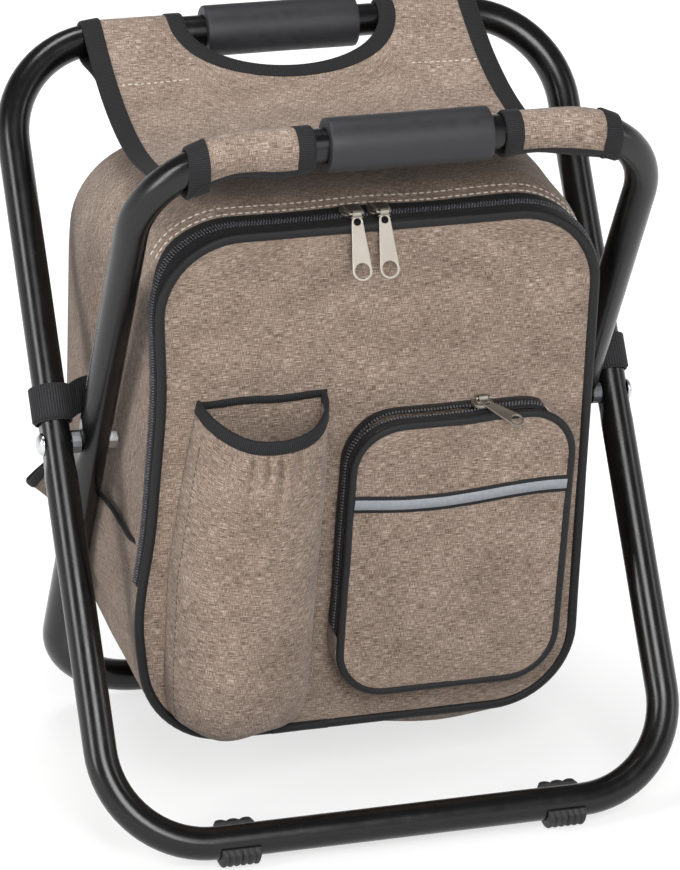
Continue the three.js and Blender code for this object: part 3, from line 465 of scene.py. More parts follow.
def mixed(tree, first, second, share):
    """first and second mixed, as a number."""
    return add(tree, "ShaderNodeMix", {"Factor": share, "A": first, "B": second}).outputs["Result"]


def spread_over(tree, value, given, wanted):
    """A number carried from one range to another."""
    ranges = {"From Min": given[0], "From Max": given[1], "To Min": wanted[0], "To Max": wanted[1]}
    return add(tree, "ShaderNodeMapRange", {"Value": value, **ranges}).outputs["Result"]


# %% Kinds of finish
def canvas(name, stops):
    """Melange cloth: short light and dark threads run across and up, over faint larger patches."""
    made, tree, shader = finish_of(name, "#968471", 0.9, Specular_IOR_Level=0.25, Sheen_Weight=0.12)
    threads = mixed(tree, stretched(tree, WEFT), stretched(tree, WARP), 0.42)
    tone = mixed(tree, threads, stretched(tree, PATCHES, 3.0), 0.1)
    feed(tree, shader, ramp(tree, tone, stops), threads, 0.35, 0.4)
    return made


def ribbed(name, dark, light, ribs, roughness=0.75):
    """Woven tape with ribs across it, that many a metre. Each rib's crest is painted lighter, as a painted
    highlight.
    """
    made, tree, shader = finish_of(name, dark, roughness, Specular_IOR_Level=0.22, Sheen_Weight=0.03)
    where = add(tree, "ShaderNodeTexCoord").outputs["UV"]
    inputs = {"Vector": where, "Scale": ribs / 20 * 2 * math.pi, "Distortion": 0.4}
    waves = add(tree, "ShaderNodeTexWave", inputs, bands_direction="Y").outputs["Fac"]
    # half of this is a painted highlight on the rib crests, half is random grain
    tone = mixed(tree, waves, stretched(tree, GRAIN), 0.5)
    feed(tree, shader, ramp(tree, tone, [(0.25, dark), (0.8, light)]), waves, 0.3, 0.2)
    return made


def grained(name, dark, light, gloss, size, height, **more):
    """A finish with cloudy colour and gloss and a fine skin of bumps, with size and height in mm."""
    made, tree, shader = finish_of(name, dark, gloss, **more)
    where = add(tree, "ShaderNodeTexCoord").outputs["Object"]
    clouds = hills(tree, where, 0.12 / (size * MM), 3.0)
    uneven = spread_over(tree, clouds, (0.3, 0.7), (gloss * 0.85, gloss * 1.15))
    tree.links.new(uneven, shader.inputs["Roughness"])
    colour = ramp(tree, clouds, [(0.3, dark), (0.7, light)])
    feed(tree, shader, colour, hills(tree, where, 1.0 / (size * MM), 2.0), 0.3, height)
    return made


# %% Finishes of the stool
# Taupe canvas: pale and brown threads give the melange, and a faint sheen gives its soft edges.
TAUPE = [(0.385, "#433831"), (0.46, "#766659"), (0.535, "#958274"), (0.62, "#cabaae")]
cloth = canvas("taupe_melange_canvas", TAUPE)
# Woven tapes: ribs across them, with a painted highlight on each crest that draws them as fine bright lines.
binding = ribbed("black_grosgrain_binding", "#111112", "#2c2c2e", 900)
webbing = ribbed("black_webbing", "#131314", "#363638", 640)
zip_tape = ribbed("black_zipper_tape", "#121213", "#29292b", 1100)
piping_cloth = ribbed("black_piping", "#131314", "#262628", 1300, 0.55)
# Powder coat: its fine orange peel makes the lamps' streaks soft.
tube_paint = grained("black_gloss_powder_coat", "#090909", "#0c0c0d", 0.25, 1.2, 0.004,
                     Specular_IOR_Level=0.42)
# Plated steel: bright, with a cloudy polish. The spacers' plate and the cast zinc are duller.
steel = grained("zinc_plated_steel", "#c2c4c7", "#d8d9db", 0.24, 0.6, 0.01, Metallic=1.0)
spacer_steel = grained("dull_zinc_plate", "#5d5e60", "#6f7073", 0.42, 0.6, 0.01, Metallic=1.0)
zinc = grained("pale_gold_zinc", "#8f8980", "#9b958c", 0.45, 1.5, 0.003, Metallic=1.0)
# Nylon coil: its grey is lighter than black nylon, as a painted glint, and each bead's gloss adds a small
# real glint.
coil = grained("black_nylon_coil", "#3c3c40", "#56565b", 0.24, 0.4, 0.01)
# Sewing threads: fuzzy and matt.
thread = grained("light_polyester_thread", "#c9c0b4", "#e4ddd3", 0.7, 0.3, 0.06)
dark_thread = grained("brown_polyester_thread", "#4e4238", "#64564a", 0.8, 0.3, 0.06)
# Reflective ribbon: a skin of tiny glass beads.
ribbon = grained("grey_reflective_ribbon", "#83878d", "#8f9398", 0.42, 0.3, 0.03, Specular_IOR_Level=0.6)
# Lining film: half metallic and crinkled.
film = grained("silver_lining_film", "#a9adb0", "#c0c3c6", 0.33, 7.0, 0.8, Metallic=0.35)
# Rubber and foam: matt and finely pitted.
rubber = grained("black_rubber", "#1a1a1b", "#222223", 0.62, 1.1, 0.08)
foam = grained("dark_grey_foam", "#29292c", "#2e2e31", 0.5, 0.6, 0.03, Specular_IOR_Level=0.34)
print(len(bpy.data.materials), "materials")

# %% [markdown]
# ## Camera, floor and lamps
# The camera stands where the photographer stood, far off with a long lens. The floor glows a little, more so
# far away where the lamps don't reach, so that it is white all over and still shows the shadow. The sky is
# white at the horizon and dim above. Softboxes in front, at the sides and above draw streaks on the tubes.

# %% Camera
CAMERA_PLACE = (-732.2, -2449.9, 1108.7)
CAMERA_AIM = (0.2702, 0.9031, -0.3337)
CAMERA_ROLL = math.radians(0.19)
LENS, SENSOR = 193.8, 36.0

aim = Vector(CAMERA_AIM).normalized()
level = aim.cross(Vector((0, 0, 1))).normalized()
top = level.cross(aim)
right = level * math.cos(CAMERA_ROLL) + top * math.sin(CAMERA_ROLL)
upward = top * math.cos(CAMERA_ROLL) - level * math.sin(CAMERA_ROLL)
bpy.ops.object.camera_add()
camera = bpy.context.object
camera.name = "camera"
turn = Matrix((right, upward, -aim)).transposed().to_4x4()
camera.matrix_world = Matrix.Translation(Vector(CAMERA_PLACE) * MM) @ turn
camera.data.lens = LENS
camera.data.sensor_width = SENSOR
camera.data.clip_end = 100.0
scene = bpy.context.scene
scene.camera = camera
scene.view_settings.view_transform = "Standard"
print("camera with a", LENS, "mm lens")

# %% Floor and sky
FLOOR_GLOW = (0.65, 0.94)
GLOW_REACH = (0.12, 0.5)


def combined(tree, operation, first, second):
    return add(tree, "ShaderNodeMath", {0: first, 1: second}, operation=operation).outputs[0]


unselect()
bpy.ops.mesh.primitive_plane_add(size=60, location=(0, 0, 0))
floor = bpy.context.object
floor.name = "floor"
floor_paint, tree, shader = finish_of("white_floor", "#a4a4a4", 1.0, Specular_IOR_Level=0.0)
ray = add(tree, "ShaderNodeLightPath").outputs
seen = combined(tree, "MAXIMUM", ray["Is Camera Ray"], ray["Is Glossy Ray"])
seen = combined(tree, "MAXIMUM", seen, ray["Is Transmission Ray"])
where = add(tree, "ShaderNodeTexCoord").outputs["Object"]
away = add(tree, "ShaderNodeVectorMath", {0: where}, operation="LENGTH").outputs["Value"]
shown = combined(tree, "MULTIPLY", seen, spread_over(tree, away, GLOW_REACH, FLOOR_GLOW))
shader.inputs["Emission Color"].default_value = (1, 1, 1, 1)
tree.links.new(shown, shader.inputs["Emission Strength"])
floor.data.materials.append(floor_paint)

sky = bpy.data.worlds.new("sky")
scene.world = sky
sky.use_nodes = True
tree = sky.node_tree
tree.nodes.clear()
direction = add(tree, "ShaderNodeTexCoord").outputs["Generated"]
height = add(tree, "ShaderNodeSeparateXYZ", {0: direction}).outputs["Z"]
shade = ramp(tree, height, [(0.0, "#ffffff"), (0.1, "#ffffff"), (0.42, "#747474")])
background = add(tree, "ShaderNodeBackground", {"Color": shade, "Strength": 1.0})
add(tree, "ShaderNodeOutputWorld", {"Surface": background.outputs[0]})
print("floor and sky")


# %% Lamps
def lamp(name, place, target_z, size, power):
    """A softbox that faces the middle of the stool at that height, with sizes in metres."""
    bpy.ops.object.light_add(type="AREA", location=place)
    made = bpy.context.object
    made.name = name
    made.data.shape = "RECTANGLE"
    made.data.size, made.data.size_y = size
    made.data.energy = power
    away = Vector((0, 0, target_z)) - Vector(place)
    made.rotation_euler = away.to_track_quat("-Z", "Y").to_euler()


lamp("front_softbox", (-0.2, -2.05, 1.36), 0.25, (1.0, 1.2), 42.5)
lamp("left_softbox", (-2.0, -0.7, 1.1), 0.25, (0.6, 1.4), 24)
lamp("top_softbox", (-0.2, 0.2, 2.3), 0.3, (0.8, 0.5), 15)
lamp("right_softbox", (1.9, -0.9, 1.0), 0.25, (0.5, 1.4), 7)

# %% [markdown]
# ## The two tube loops
# Each loop is one steel tube bent to a rounded rectangle. It is drawn as a curve with a round bevel.
# At the pivot the bender presses the tube flat on both sides, so those points are pushed in afterwards.

# %% Tube loops
PRESS_DEPTH, PRESS_FLAT, PRESS_END = 1.6, 7, 24


def loop_path(half_width):
    """Points round one loop, as x and distance along the leg from the pivot."""
    straight, bend_x = REACH - BEND_R, half_width - BEND_R
    ends = np.linspace(22, straight, 8)
    leg = np.concatenate([-ends[::-1], np.arange(-20, 21, 2.0), ends])[1:-1]
    points = []
    for side in (1, -1):
        points += [(side * half_width, side * s) for s in leg]
        for start, x in ((0, bend_x), (90, -bend_x)):
            for a in np.radians(np.linspace(start, start + 90, 19)):
                points.append((side * (x + BEND_R * math.cos(a)), side * (straight + BEND_R * math.sin(a))))
    return np.array(points[-1:] + points[:-1])


# way is 1 for the loop whose top is at the back
for name, half_width, way, body in (("outer_loop", OUTER_X, 1, "outer_frame"),
                                    ("inner_loop", INNER_X, -1, "inner_frame")):
    x, s = loop_path(half_width).T
    path = np.stack([x, way * s * LEG_Y, PIVOT_Z + s * LEG_Z], axis=-1)
    tube = cord(name, path, TUBE_R, ring=True, sides=12)
    for vertex in tube.data.vertices:
        spot = np.array(vertex.co) / MM - (0, 0, PIVOT_Z)
        s = abs(way * spot[1] * LEG_Y + spot[2] * LEG_Z)
        if s < PRESS_END:
            pressed = TUBE_R - PRESS_DEPTH * (1 - smooth(PRESS_FLAT, PRESS_END, s))
            centre = math.copysign(half_width, spot[0])
            vertex.co.x = (centre + np.clip(spot[0] - centre, -pressed, pressed)) * MM
    keep(tube, tube_paint, "tube", body, stands_for=[f"{body}_tube"])
    print(name, len(tube.data.polygons), "faces")

# %% [markdown]
# ## Foam grips
# A grip is a thick foam tube pushed onto the bar. It is turned from a profile with slightly rounded ends.

# %% Grips
for end, y, body in (("front", -BAR_Y, "inner_frame"), ("rear", BAR_Y, "outer_frame")):
    half = [(-46, 9.7), (-46, 13.6), (-45.8, 14.4), (-45.2, 14.85), (-44, 15.0), (-30, 15.0), (0, 14.9)]
    profile = half + [(-a, r) for a, r in half[-2::-1]]
    grip = turned(f"{end}_grip", profile, (0, y, TOP_Z), (1, 0, 0), 56)
    keep(grip, foam, "grip_foam", body, stands_for=[f"grip_{end}"])
    print(grip.name, "diameter", round(grip.dimensions.y / MM, 1))

# %% [markdown]
# ## Rubber feet
# A foot is a moulded clip that snaps onto the bottom bar. It has three fat lobes above and fine ribs where it
# meets the floor. The profile round the bar is swept across, and the outer radius follows the lobes.

# %% Feet
FOOT_HALF, FOOT_INNER, FOOT_WALL = 11.5, 9.7, 9.9
LOBE_PITCH, RIB_PITCH = 7.667, 3.833
FOOT_SOLE = -13.9


def foot(name, x, y):
    """A clip round the bottom bar at x, y. Its mouth faces up and outward."""
    outward = math.copysign(1, y)
    degrees = np.linspace(130, 358, 40)
    cosine, sine = np.cos(np.radians(degrees)), np.sin(np.radians(degrees))
    high = smooth(250, 215, degrees)
    tip = smooth(130, 142, degrees) * (1 - smooth(345, 358, degrees))
    rows = []
    for span in np.linspace(-FOOT_HALF, FOOT_HALF, 47):
        end = 1 - 0.35 * smooth(FOOT_HALF - 1.3, FOOT_HALF, abs(span))
        lobe = abs(math.sin(math.pi * (span + FOOT_HALF) / LOBE_PITCH)) ** 0.6
        rib = abs(math.sin(math.pi * (span + FOOT_HALF) / RIB_PITCH)) ** 0.7
        wave = lobe * high + rib * (1 - high)
        outer = FOOT_WALL + (3.0 + 1.4 * wave) * end * (0.35 + 0.65 * tip)
        away = np.concatenate([outer * cosine, FOOT_INNER * cosine[::-1]])
        above = np.concatenate([np.maximum(outer * sine, FOOT_SOLE), FOOT_INNER * sine[::-1]])
        ring = np.stack([x + span + 0 * away, y + outward * away, FLOOR_BAR_Z + above], axis=-1)
        rows.append(closed(ring))
    made = drape(name, rows, merge=True)
    edit_all(fill=True)
    soften(made, 45)
    return made


for end, y, x, body in (("front", -BAR_Y, 96.5, "outer_frame"), ("rear", BAR_Y, 75.0, "inner_frame")):
    for hand, sign in HANDS:
        made = foot(f"{end}_{hand}_foot", sign * x, y)
        keep(made, rubber, "foot_rubber", body, stands_for=[f"foot_{end}_{hand}"])
print("four feet")

# %% [markdown]
# ## Pivot hardware
# A domed bolt passes through both legs at each side, with a spacer between the tubes and a nut inside.
# The spacers and nuts are the CAD part's own meshes, so they only get their finish here.

# %% Pivot bolts
HEAD_X, HEAD_R, DOME = 175.7, 6.5, 3.8
shank = [(HEAD_X + 0.05, HEAD_R), (HEAD_X, 3.0), (132.0, 3.0), (131.6, 2.6), (131.6, 0.01)]
turns = np.linspace(0, math.pi / 2, 9)
dome = [(HEAD_X + DOME * math.cos(a), max(HEAD_R * math.sin(a), 0.01)) for a in turns]
for hand, sign in HANDS:
    bolt = turned(f"{hand}_pivot_bolt", dome + shank, (0, 0, PIVOT_Z), (sign, 0, 0), 32)
    keep(bolt, steel, "steel", "outer_frame", stands_for=[f"pivot_bolt_{hand}"])
    for node, finish in ((f"pivot_spacer_{hand}", spacer_steel), (f"pivot_nut_{hand}", steel)):
        for material_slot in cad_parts[node].material_slots:
            material_slot.material = finish
print("bolt head diameter", 2 * HEAD_R)

# %% [markdown]
# ## The cloth seat
# The seat is one cloth that hangs slack between the two top bars. At each end it goes round the bar as a
# sleeve and comes back under itself, with a cut-out left free for the hand at the grip.
# It is one grid: rows run from the front hem over the front bar, along the sag and round the rear bar.
# Columns follow the cut-outs, so that their edge is a clean curve, and the faces inside them are deleted.

# %% Seat sizes and sleeves
SEAT_END = 120.39
SEAT_RISE = 424.41
SAG = 46.0
CLOTH_R = 10.4
SLEEVE_TURNS = np.radians(np.linspace(214, 54, 22))
FRONT_EDGE, REAR_EDGE = 122.0, 119.5
FRONT_CUT, REAR_CUT = 54.0, 59.5
FRONT_DEPTH, REAR_DEPTH = 44.0, 34.0
SLEEVE_STEPS, CUT_STEPS, SEAT_ROWS = 14, 41, 57
HEM = np.array([(38, -14.6), (30, -13.6), (22, -13.2), (14, -13.2), (8, -13.2),
                (3, -13.0), (-2, -12.3), (-5.6, -10.8), (-7.8, -8.5)])
cut_turns = np.linspace(-math.pi / 2, math.pi / 2, CUT_STEPS)


def seat_columns(edge, cut):
    sleeve = np.linspace(-edge, -cut, SLEEVE_STEPS + 1)[:-1]
    return np.concatenate([sleeve, cut * np.sin(cut_turns), -sleeve[::-1]])


def bend_drop(x, half_width):
    """How far the bar has dropped along the leg at x, and how much longer its cut is there."""
    over = np.clip(np.abs(x) - (half_width - BEND_R), 0, BEND_R * 0.8)
    height = np.sqrt(BEND_R ** 2 - over ** 2)
    return BEND_R - height, BEND_R / height


def round_bar(x, half_width, way, belly):
    """Rows of the sleeve from its hem under the seat to where it leaves the bar, for each column."""
    circle = CLOTH_R * np.stack([np.cos(SLEEVE_TURNS), np.sin(SLEEVE_TURNS)], axis=-1)
    hold = np.concatenate([np.linspace(0, 1, len(HEM) + 1)[:-1] ** 2, np.ones(len(circle))])
    drop, longer = bend_drop(x, half_width)
    rows = []
    for (dy, dz), share in zip(np.concatenate([HEM, circle]), hold):
        lower = belly * smooth(-7.0, -12.5, dz)
        slide = (dy * LEG_Y - (dz + lower) * LEG_Z) * (longer - 1) * share + drop
        y = way * (BAR_Y - dy - slide * LEG_Y)
        rows.append(np.stack([x, y, TOP_Z + dz + lower - slide * LEG_Z], axis=-1))
    return np.array(rows)


# %% Seat cloth
x_front, x_rear = seat_columns(FRONT_EDGE, FRONT_CUT), seat_columns(REAR_EDGE, REAR_CUT)
first, last = SLEEVE_STEPS, SLEEVE_STEPS + CUT_STEPS - 1
inside = np.zeros(len(x_front))
inside[first + 1:last] = np.cos(cut_turns[1:-1])
y_start = -SEAT_END + FRONT_DEPTH * inside
y_end = SEAT_END - REAR_DEPTH * inside
y = y_start + (y_end - y_start) * np.linspace(0, 1, SEAT_ROWS)[:, None]
x = x_front + (x_rear - x_front) * (y + SEAT_END) / (2 * SEAT_END)
z = SEAT_RISE - SAG * (1 - (y / SEAT_END) ** 2)
z = z - 8.0 * smooth(84, 122, np.abs(x)) * np.exp(-((y + 72) / 38) ** 2)
front_drop = bend_drop(x_front, INNER_X)[0] * (1 - smooth(0, 75, y + SEAT_END))
rear_drop = bend_drop(x_rear, OUTER_X)[0] * (1 - smooth(0, 75, SEAT_END - y))
y = y + (front_drop - rear_drop) * LEG_Y
z = z - (front_drop + rear_drop) * LEG_Z
panel = np.stack([x, y, z], axis=-1)
slack = smooth(0, 30, np.minimum(y - y_start, y_end - y))
panel[..., 2] += slack * (1.5 * ripple(panel, 75, 4) + 0.5 * ripple(panel, 28, 9))
front_rows = round_bar(x_front, INNER_X, -1, -0.6 + 1.6 * np.sin(x_front / 9.0))
rear_rows = round_bar(x_rear, OUTER_X, 1, -0.4 + 1.4 * np.sin(x_rear / 10.0 + 1))[::-1]
seat_places = np.concatenate([front_rows[:-1], panel, rear_rows[1:]])
row_count = len(seat_places)
start_row = len(front_rows) - 1
end_row = start_row + SEAT_ROWS - 1
cut = np.zeros((row_count - 1, len(x_front) - 1), bool)
cut[:start_row, first:last] = True
cut[end_row:, first:last] = True
seat = drape("seat_cloth", seat_places, cut)
thicken(seat, SEAT_CLOTH)
SEAT_BEND = ("outer_frame", "inner_frame", (0, 108, TOP_Z), (0, -108, TOP_Z))
sleeves = [f"seat_sleeve_{end}_{hand}" for end in ("front", "rear") for hand in ("left", "right")]
keep(seat, cloth, "cloth", across=SEAT_BEND, stands_for=["seat_panel", *sleeves])

# %% [markdown]
# ## Bindings of the seat
# A black tape is folded over every cut edge of the seat: down both sides and round both cut-outs.
# Each tape follows the edge points of the cloth grid, so it turns with the cloth round the bars.

# %% Seat bindings
SIDE_TAPE, CUT_TAPE, HEM_TAPE = 11, 9.5, 7.0
seat_normals = facing_of(seat_places)
seat_normals *= np.sign(seat_normals[start_row + 20, 5, 2])
seat_tapes = []
for column, beside in ((0, 1), (-1, -2)):
    inward = seat_places[:, beside] - seat_places[:, column]
    made = edge_tape("side_tape", seat_places[:, column], inward, seat_normals[:, column], SIDE_TAPE)
    seat_tapes.append(made)
for row, step, rows in ((start_row, 1, np.arange(0, start_row)),
                        (end_row, -1, np.arange(row_count - 1, end_row, -1))):
    lined = len(rows)
    edge_rows = np.concatenate([rows, np.full(CUT_STEPS, row), rows[::-1]])
    edge_columns = np.repeat([first, first, last], [lined, CUT_STEPS, lined])
    edge_columns[lined:-lined] += np.arange(CUT_STEPS)
    points = seat_places[edge_rows, edge_columns]
    normals = seat_normals[np.clip(edge_rows, 1, row_count - 2), edge_columns]
    normals[lined:-lined] = seat_normals[row + 2 * step, first:last + 1]
    middle = len(points) // 2
    inward = np.zeros_like(points)
    inward[middle] = seat_places[row + 3 * step, (first + last) // 2] - points[middle]
    seat_tapes.append(edge_tape("cut_tape", points, inward, normals, CUT_TAPE))
hem_row = len(HEM) - 2
for columns in (np.arange(1, first - 1), np.arange(last + 2, len(x_front) - 1)):
    outward = -seat_normals[hem_row, columns] * np.sign(seat_normals[hem_row, columns, 2:])
    path = along(seat_places[hem_row, columns] + 0.5 * outward, outward)
    seat_tapes.append(sweep("hem_tape", *path, tape(HEM_TAPE, 1.0)))
seat_binding = join("seat_binding", seat_tapes)
keep(seat_binding, binding, "webbing", across=SEAT_BEND)
flat_length = np.linalg.norm(np.diff(seat_places, axis=0), axis=2).sum(axis=0).max()
print("seat cloth is", 2 * FRONT_EDGE, "wide and", round(flat_length), "long when flat")

# %% [markdown]
# ## Seams of the seat
# The hem of each sleeve is sewn through the seat with a pale thread, so rows of stitches lie on the cloth.

# %% Seat stitches
SEAT_STITCH = (2.6, 3.8, 0.3)
seam_rows = []
for row in (start_row + 9, end_row - 9):
    for columns in (np.arange(2, first - 1), np.arange(last + 2, len(x_front) - 2)):
        up = seat_normals[row, columns]
        seam_rows.append(stitches("seam", seat_places[row, columns] + 0.75 * up, up, SEAT_STITCH))
seat_seams = join("seat_seams", seam_rows)
keep(seat_seams, thread, across=SEAT_BEND)
print(len(seat_seams.data.polygons), "faces in the seat's seams")

# %% [markdown]
# ## Webbing straps
# A loop of webbing holds each outer leg just above the pivot. Its tail is tucked in under the bag's cloth.
# The loop lies on the leg and the tail on the bag, so the piece is fixed to neither body.

# %% Straps
STRAP_UP, STRAP_R, STRAP_WIDE, TAIL_W = 22, 10.4, 20, 22.0
# radius, width, place along the leg, then first and last angle of each wrap
WRAPS = ((10.45, 21, 0.0, 0, 360), (11.5, 20, 0.8, -150, 130))


def strap(name, sign):
    leg = np.array([0, LEG_Y, LEG_Z])
    outward = np.array([sign, 0.0, 0.0])
    back = np.cross(leg, outward) * sign
    centre = np.array([sign * OUTER_X, 0, PIVOT_Z]) + STRAP_UP * leg
    pieces = []
    for radius, width, lift, start, end in WRAPS:
        whole = end - start == 360
        angles = np.radians(np.linspace(start, end, 61))[:60 if whole else 61, None]
        rim = np.cos(angles) * outward + np.sin(angles) * back
        path = centre + lift * leg + radius * rim
        pieces.append(sweep("loop", path, leg, rim, tape(width, 1.1), ring=whole))
    start = centre + STRAP_R * (0.66 * back - 0.75 * outward)
    goal = bag_point(sign * 136.2, 22.0, TAIL_W)
    sewn = bag_point(sign * 134.0, 36.0, TAIL_W)
    slack = start + (goal - start) * 0.45 + np.array([0, 5, 0])
    turn_in = goal + np.array([sign * 2.0, -3, 0])
    knots = np.array([start, slack, turn_in, goal, (goal + sewn) / 2, sewn])
    points = follow(np.linspace(0, len(knots) - 1, 40), np.arange(len(knots)), knots)
    for _ in range(4):
        points[1:-1] = (points[:-2] + 2 * points[1:-1] + points[2:]) / 4
    share = smooth(0, 0.6, np.linspace(0, 1, len(points)))[:, None]
    side = unit(leg * (1 - share) + bag_way(0, 0, 1.0) * share)
    normal = unit(np.cross(unit(np.gradient(points, axis=0)), side))
    pieces.append(sweep("tail", points, side, normal, tape(STRAP_WIDE, 1.2)))
    return join(name, pieces)


for hand, sign in HANDS:
    ends = ((sign * 157, 0, PIVOT_Z), (sign * 131, 0, PIVOT_Z))
    made = strap(f"{hand}_strap", sign)
    bend = ("outer_frame", "cooler_bag", *ends)
    keep(made, webbing, "webbing", across=bend, stands_for=[f"bag_strap_{hand}"])
print("straps done")

# %% [markdown]
# ## The shape of the bag
# The bag is a soft box. Its front and back outlines are rounded rectangles, and the cloth between them
# bulges. One rule gives every point of that skin, so cloth, zipper and seams all lie on the same surface.
# The left front edge is wavy, the top swells behind the zipper, and the bottom sags and puffs out at the
# right, as in the photo.

# %% Outline and swell of the bag
INWARD = np.array([1, -1, 1, -1, -1])


def rounded(box, inset, steps):
    """Points and outward directions round a rounded rectangle, from the bottom's middle to the right.

    A box is left, right, bottom, top and corner radius. Steps are for half the bottom, a corner and a side.
    """
    left, right, bottom, top, radius = np.array(box) + inset * INWARD
    half, bend, side = steps
    centres = np.array([(right - radius, bottom + radius), (right - radius, top - radius),
                        (left + radius, top - radius), (left + radius, bottom + radius)])
    runs = []
    for k, count in enumerate((side, 2 * half, side, 2 * half)):
        turns = np.linspace(0, math.pi / 2, bend + 1) + (k - 1) * math.pi / 2
        out = np.stack([np.cos(turns), np.sin(turns)], axis=-1)
        corner = np.concatenate([centres[k] + radius * out, out], axis=-1)
        ahead = np.concatenate([centres[k - 3] + radius * out[-1], out[-1]])
        runs += [corner, np.linspace(corner[-1], ahead, count + 1)[1:-1]]
    floor_run = runs.pop()
    return np.concatenate([floor_run[half - 1:], *runs, floor_run[:half]])


def bag_outline(u, inset=0.0):
    top_edge = BAG_TOP - BAG_FALL * (u - BAG_FRONT) / (BAG_BACK - BAG_FRONT)
    return rounded((-BAG_X, BAG_X, BAG_BOTTOM, top_edge, BAG_CORNER), inset, (12, 14, 44))


def left_wave(x, w, u):
    """How far the soft left front edge is pushed to the right."""
    wave = 3.2 * np.exp(-((w - 54) / 45) ** 2) - 7.0 * np.exp(-((w + 84) / 42) ** 2)
    return wave * smooth(-95, -125, x) * (1 - smooth(0, 70, np.asarray(u) - BAG_FRONT))


def fullness(w):
    """How far the soft back half of the sides stands out at height w."""
    return 8.0 * smooth(-120, -20, w) * (1 - 0.4 * smooth(70, 140, w))


def bag_skin(u):
    """The bag's cloth at depth u, round the outline."""
    x, w, nx, nw = bag_outline(u).T
    behind = u - BAG_FRONT
    depth = behind / (BAG_BACK - BAG_FRONT)
    arch = math.sin(math.pi * min(max(depth, 0), 1)) ** 0.8
    upper, lower = np.clip(nw, 0, 1), np.clip(-nw, 0, 1)
    sides = np.abs(nx) * ((1.5 + 3.0 * smooth(-40, 80, w)) * arch + fullness(w) * smooth(-5, 60, u))
    swell = 9.0 * smooth(10, 46, behind) * math.cos(math.pi / 2 * depth) ** 0.5
    puff = 11.5 * np.exp(-((x - 50) / 55) ** 2) * smooth(0, 14, behind) * (1 - 0.6 * smooth(30, 110, behind))
    soft = 1.4 * ripple(bag_point(x, u, w), 55, 3) * smooth(0, 25, behind) * smooth(0, 20, BAG_BACK - u)
    out = sides + upper * swell + lower * (5.0 * arch + puff) + soft
    return bag_point(x + nx * out + left_wave(x, w, u), u, w + nw * out)


# %% Skin of the bag
_, ring_w, ring_nx, ring_nw = bag_outline(BAG_FRONT).T
RING = len(ring_w)
open_run = np.flatnonzero(ring_w >= FOLD_W)
top_share = smooth(0.15, 0.8, ring_nw)
ladder = np.linspace(BAG_FRONT, BAG_BACK, 86)
skin_levels = np.array([bag_skin(u) for u in ladder])
skin_out = bag_way(ring_nx, 0, ring_nw)


def skin_at(depths):
    """Places on the skin, with a depth of its own for each point round the bag."""
    spot = np.clip((depths - BAG_FRONT) / (ladder[1] - BAG_FRONT), 0, len(ladder) - 1.001)
    low = spot.astype(int)
    share = (spot - low)[:, None]
    column = np.arange(RING)
    return skin_levels[low, column] * (1 - share) + skin_levels[low + 1, column] * share


FRONT_BEND = ("cooler_bag", "front_flap", bag_point(0, BAG_FRONT, -90.0), bag_point(0, BAG_FRONT, -42.0))
print(RING, "points round the bag,", len(open_run), "of them along the zipper")

# %% [markdown]
# ## Side wall of the bag
# One long strip of cloth runs all the way round: bottom, right, top and left. Along the zipper it ends
# under the tape, and below the fold it reaches the front seam.

# %% Side wall
FRONT_SEAM, BACK_SEAM = -64.8, 103.0
coil_u = -59.6 + 6.6 * top_share
behind_tape = coil_u + 2.4 + 3.4 * top_share
front_edge = FRONT_SEAM + (behind_tape - FRONT_SEAM) * smooth(FOLD_W - 6, FOLD_W + 6, ring_w)
steps = np.concatenate([np.linspace(0, 0.2, 9)[:-1], np.linspace(0.2, 1, 25)])
rows = [closed(skin_at(front_edge + (BACK_SEAM - front_edge) * step)) for step in steps]
wall = sew("bag_side_wall", rows, WALL_CLOTH, cloth, offset=-1.0, merge=True,
           body="cooler_bag", stands_for=["bag_gusset"])
print("side wall", len(wall.data.polygons), "faces")

# %% [markdown]
# ## Front and back panels
# The front panel is one cloth for the flap and the part below it. On the real bag it folds where the zipper
# ends, so here it lies between the bag and the flap and is fixed to neither. A low crown and soft creases
# keep it from looking like a board.

# %% Rules for panels
def pillow(x, w, middle, half):
    """1 in the middle of a panel and 0 at its edges; middle and half as x, w."""
    rise = np.clip(1 - ((x - middle[0]) / half[0]) ** 2, 0, 1)
    return rise * np.clip(1 - ((w - middle[1]) / half[1]) ** 2, 0, 1)


def front_u(x, w):
    """Depth of the front cloth, with a low crown and soft creases."""
    dome = pillow(x, w, (0, -8), (128, 158))
    points = bag_point(x, 0, w)
    creases = 1.0 * ripple(points, 62, 7) + 0.45 * ripple(points, 24, 1)
    return -65.2 - (2.2 * dome + np.clip(dome * 6, 0, 1) * creases)


def panel_grid(box, inset, columns, rows):
    """x and w of a grid that fills a rounded rectangle."""
    left, right, bottom, top, radius = np.array(box) + inset * INWARD
    quarter = np.linspace(0, math.pi / 2, 10)[:-1]
    corner, ease = np.sin(quarter), radius * (1 - np.cos(quarter))
    straight = np.linspace(bottom + radius, top - radius, rows)
    w = np.concatenate([bottom + ease, straight, top - ease[::-1]])
    inner = np.concatenate([corner, np.ones(rows), corner[::-1]])
    half = (right - left) / 2 - radius * (1 - inner)
    x = (left + right) / 2 + half[:, None] * np.linspace(-1, 1, columns)
    return x, np.repeat(w[:, None], columns, 1)


# %% Front and back panels
x, w = panel_grid((-BAG_X, BAG_X, BAG_BOTTOM, BAG_TOP, BAG_CORNER), 1.2, 61, 61)
places = bag_point(x + left_wave(x, w, BAG_FRONT), front_u(x, w), w)
front_panel = sew("front_panel", places, PANEL_CLOTH, cloth, across=FRONT_BEND,
                  stands_for=["flap_panel", "bag_front_panel"])

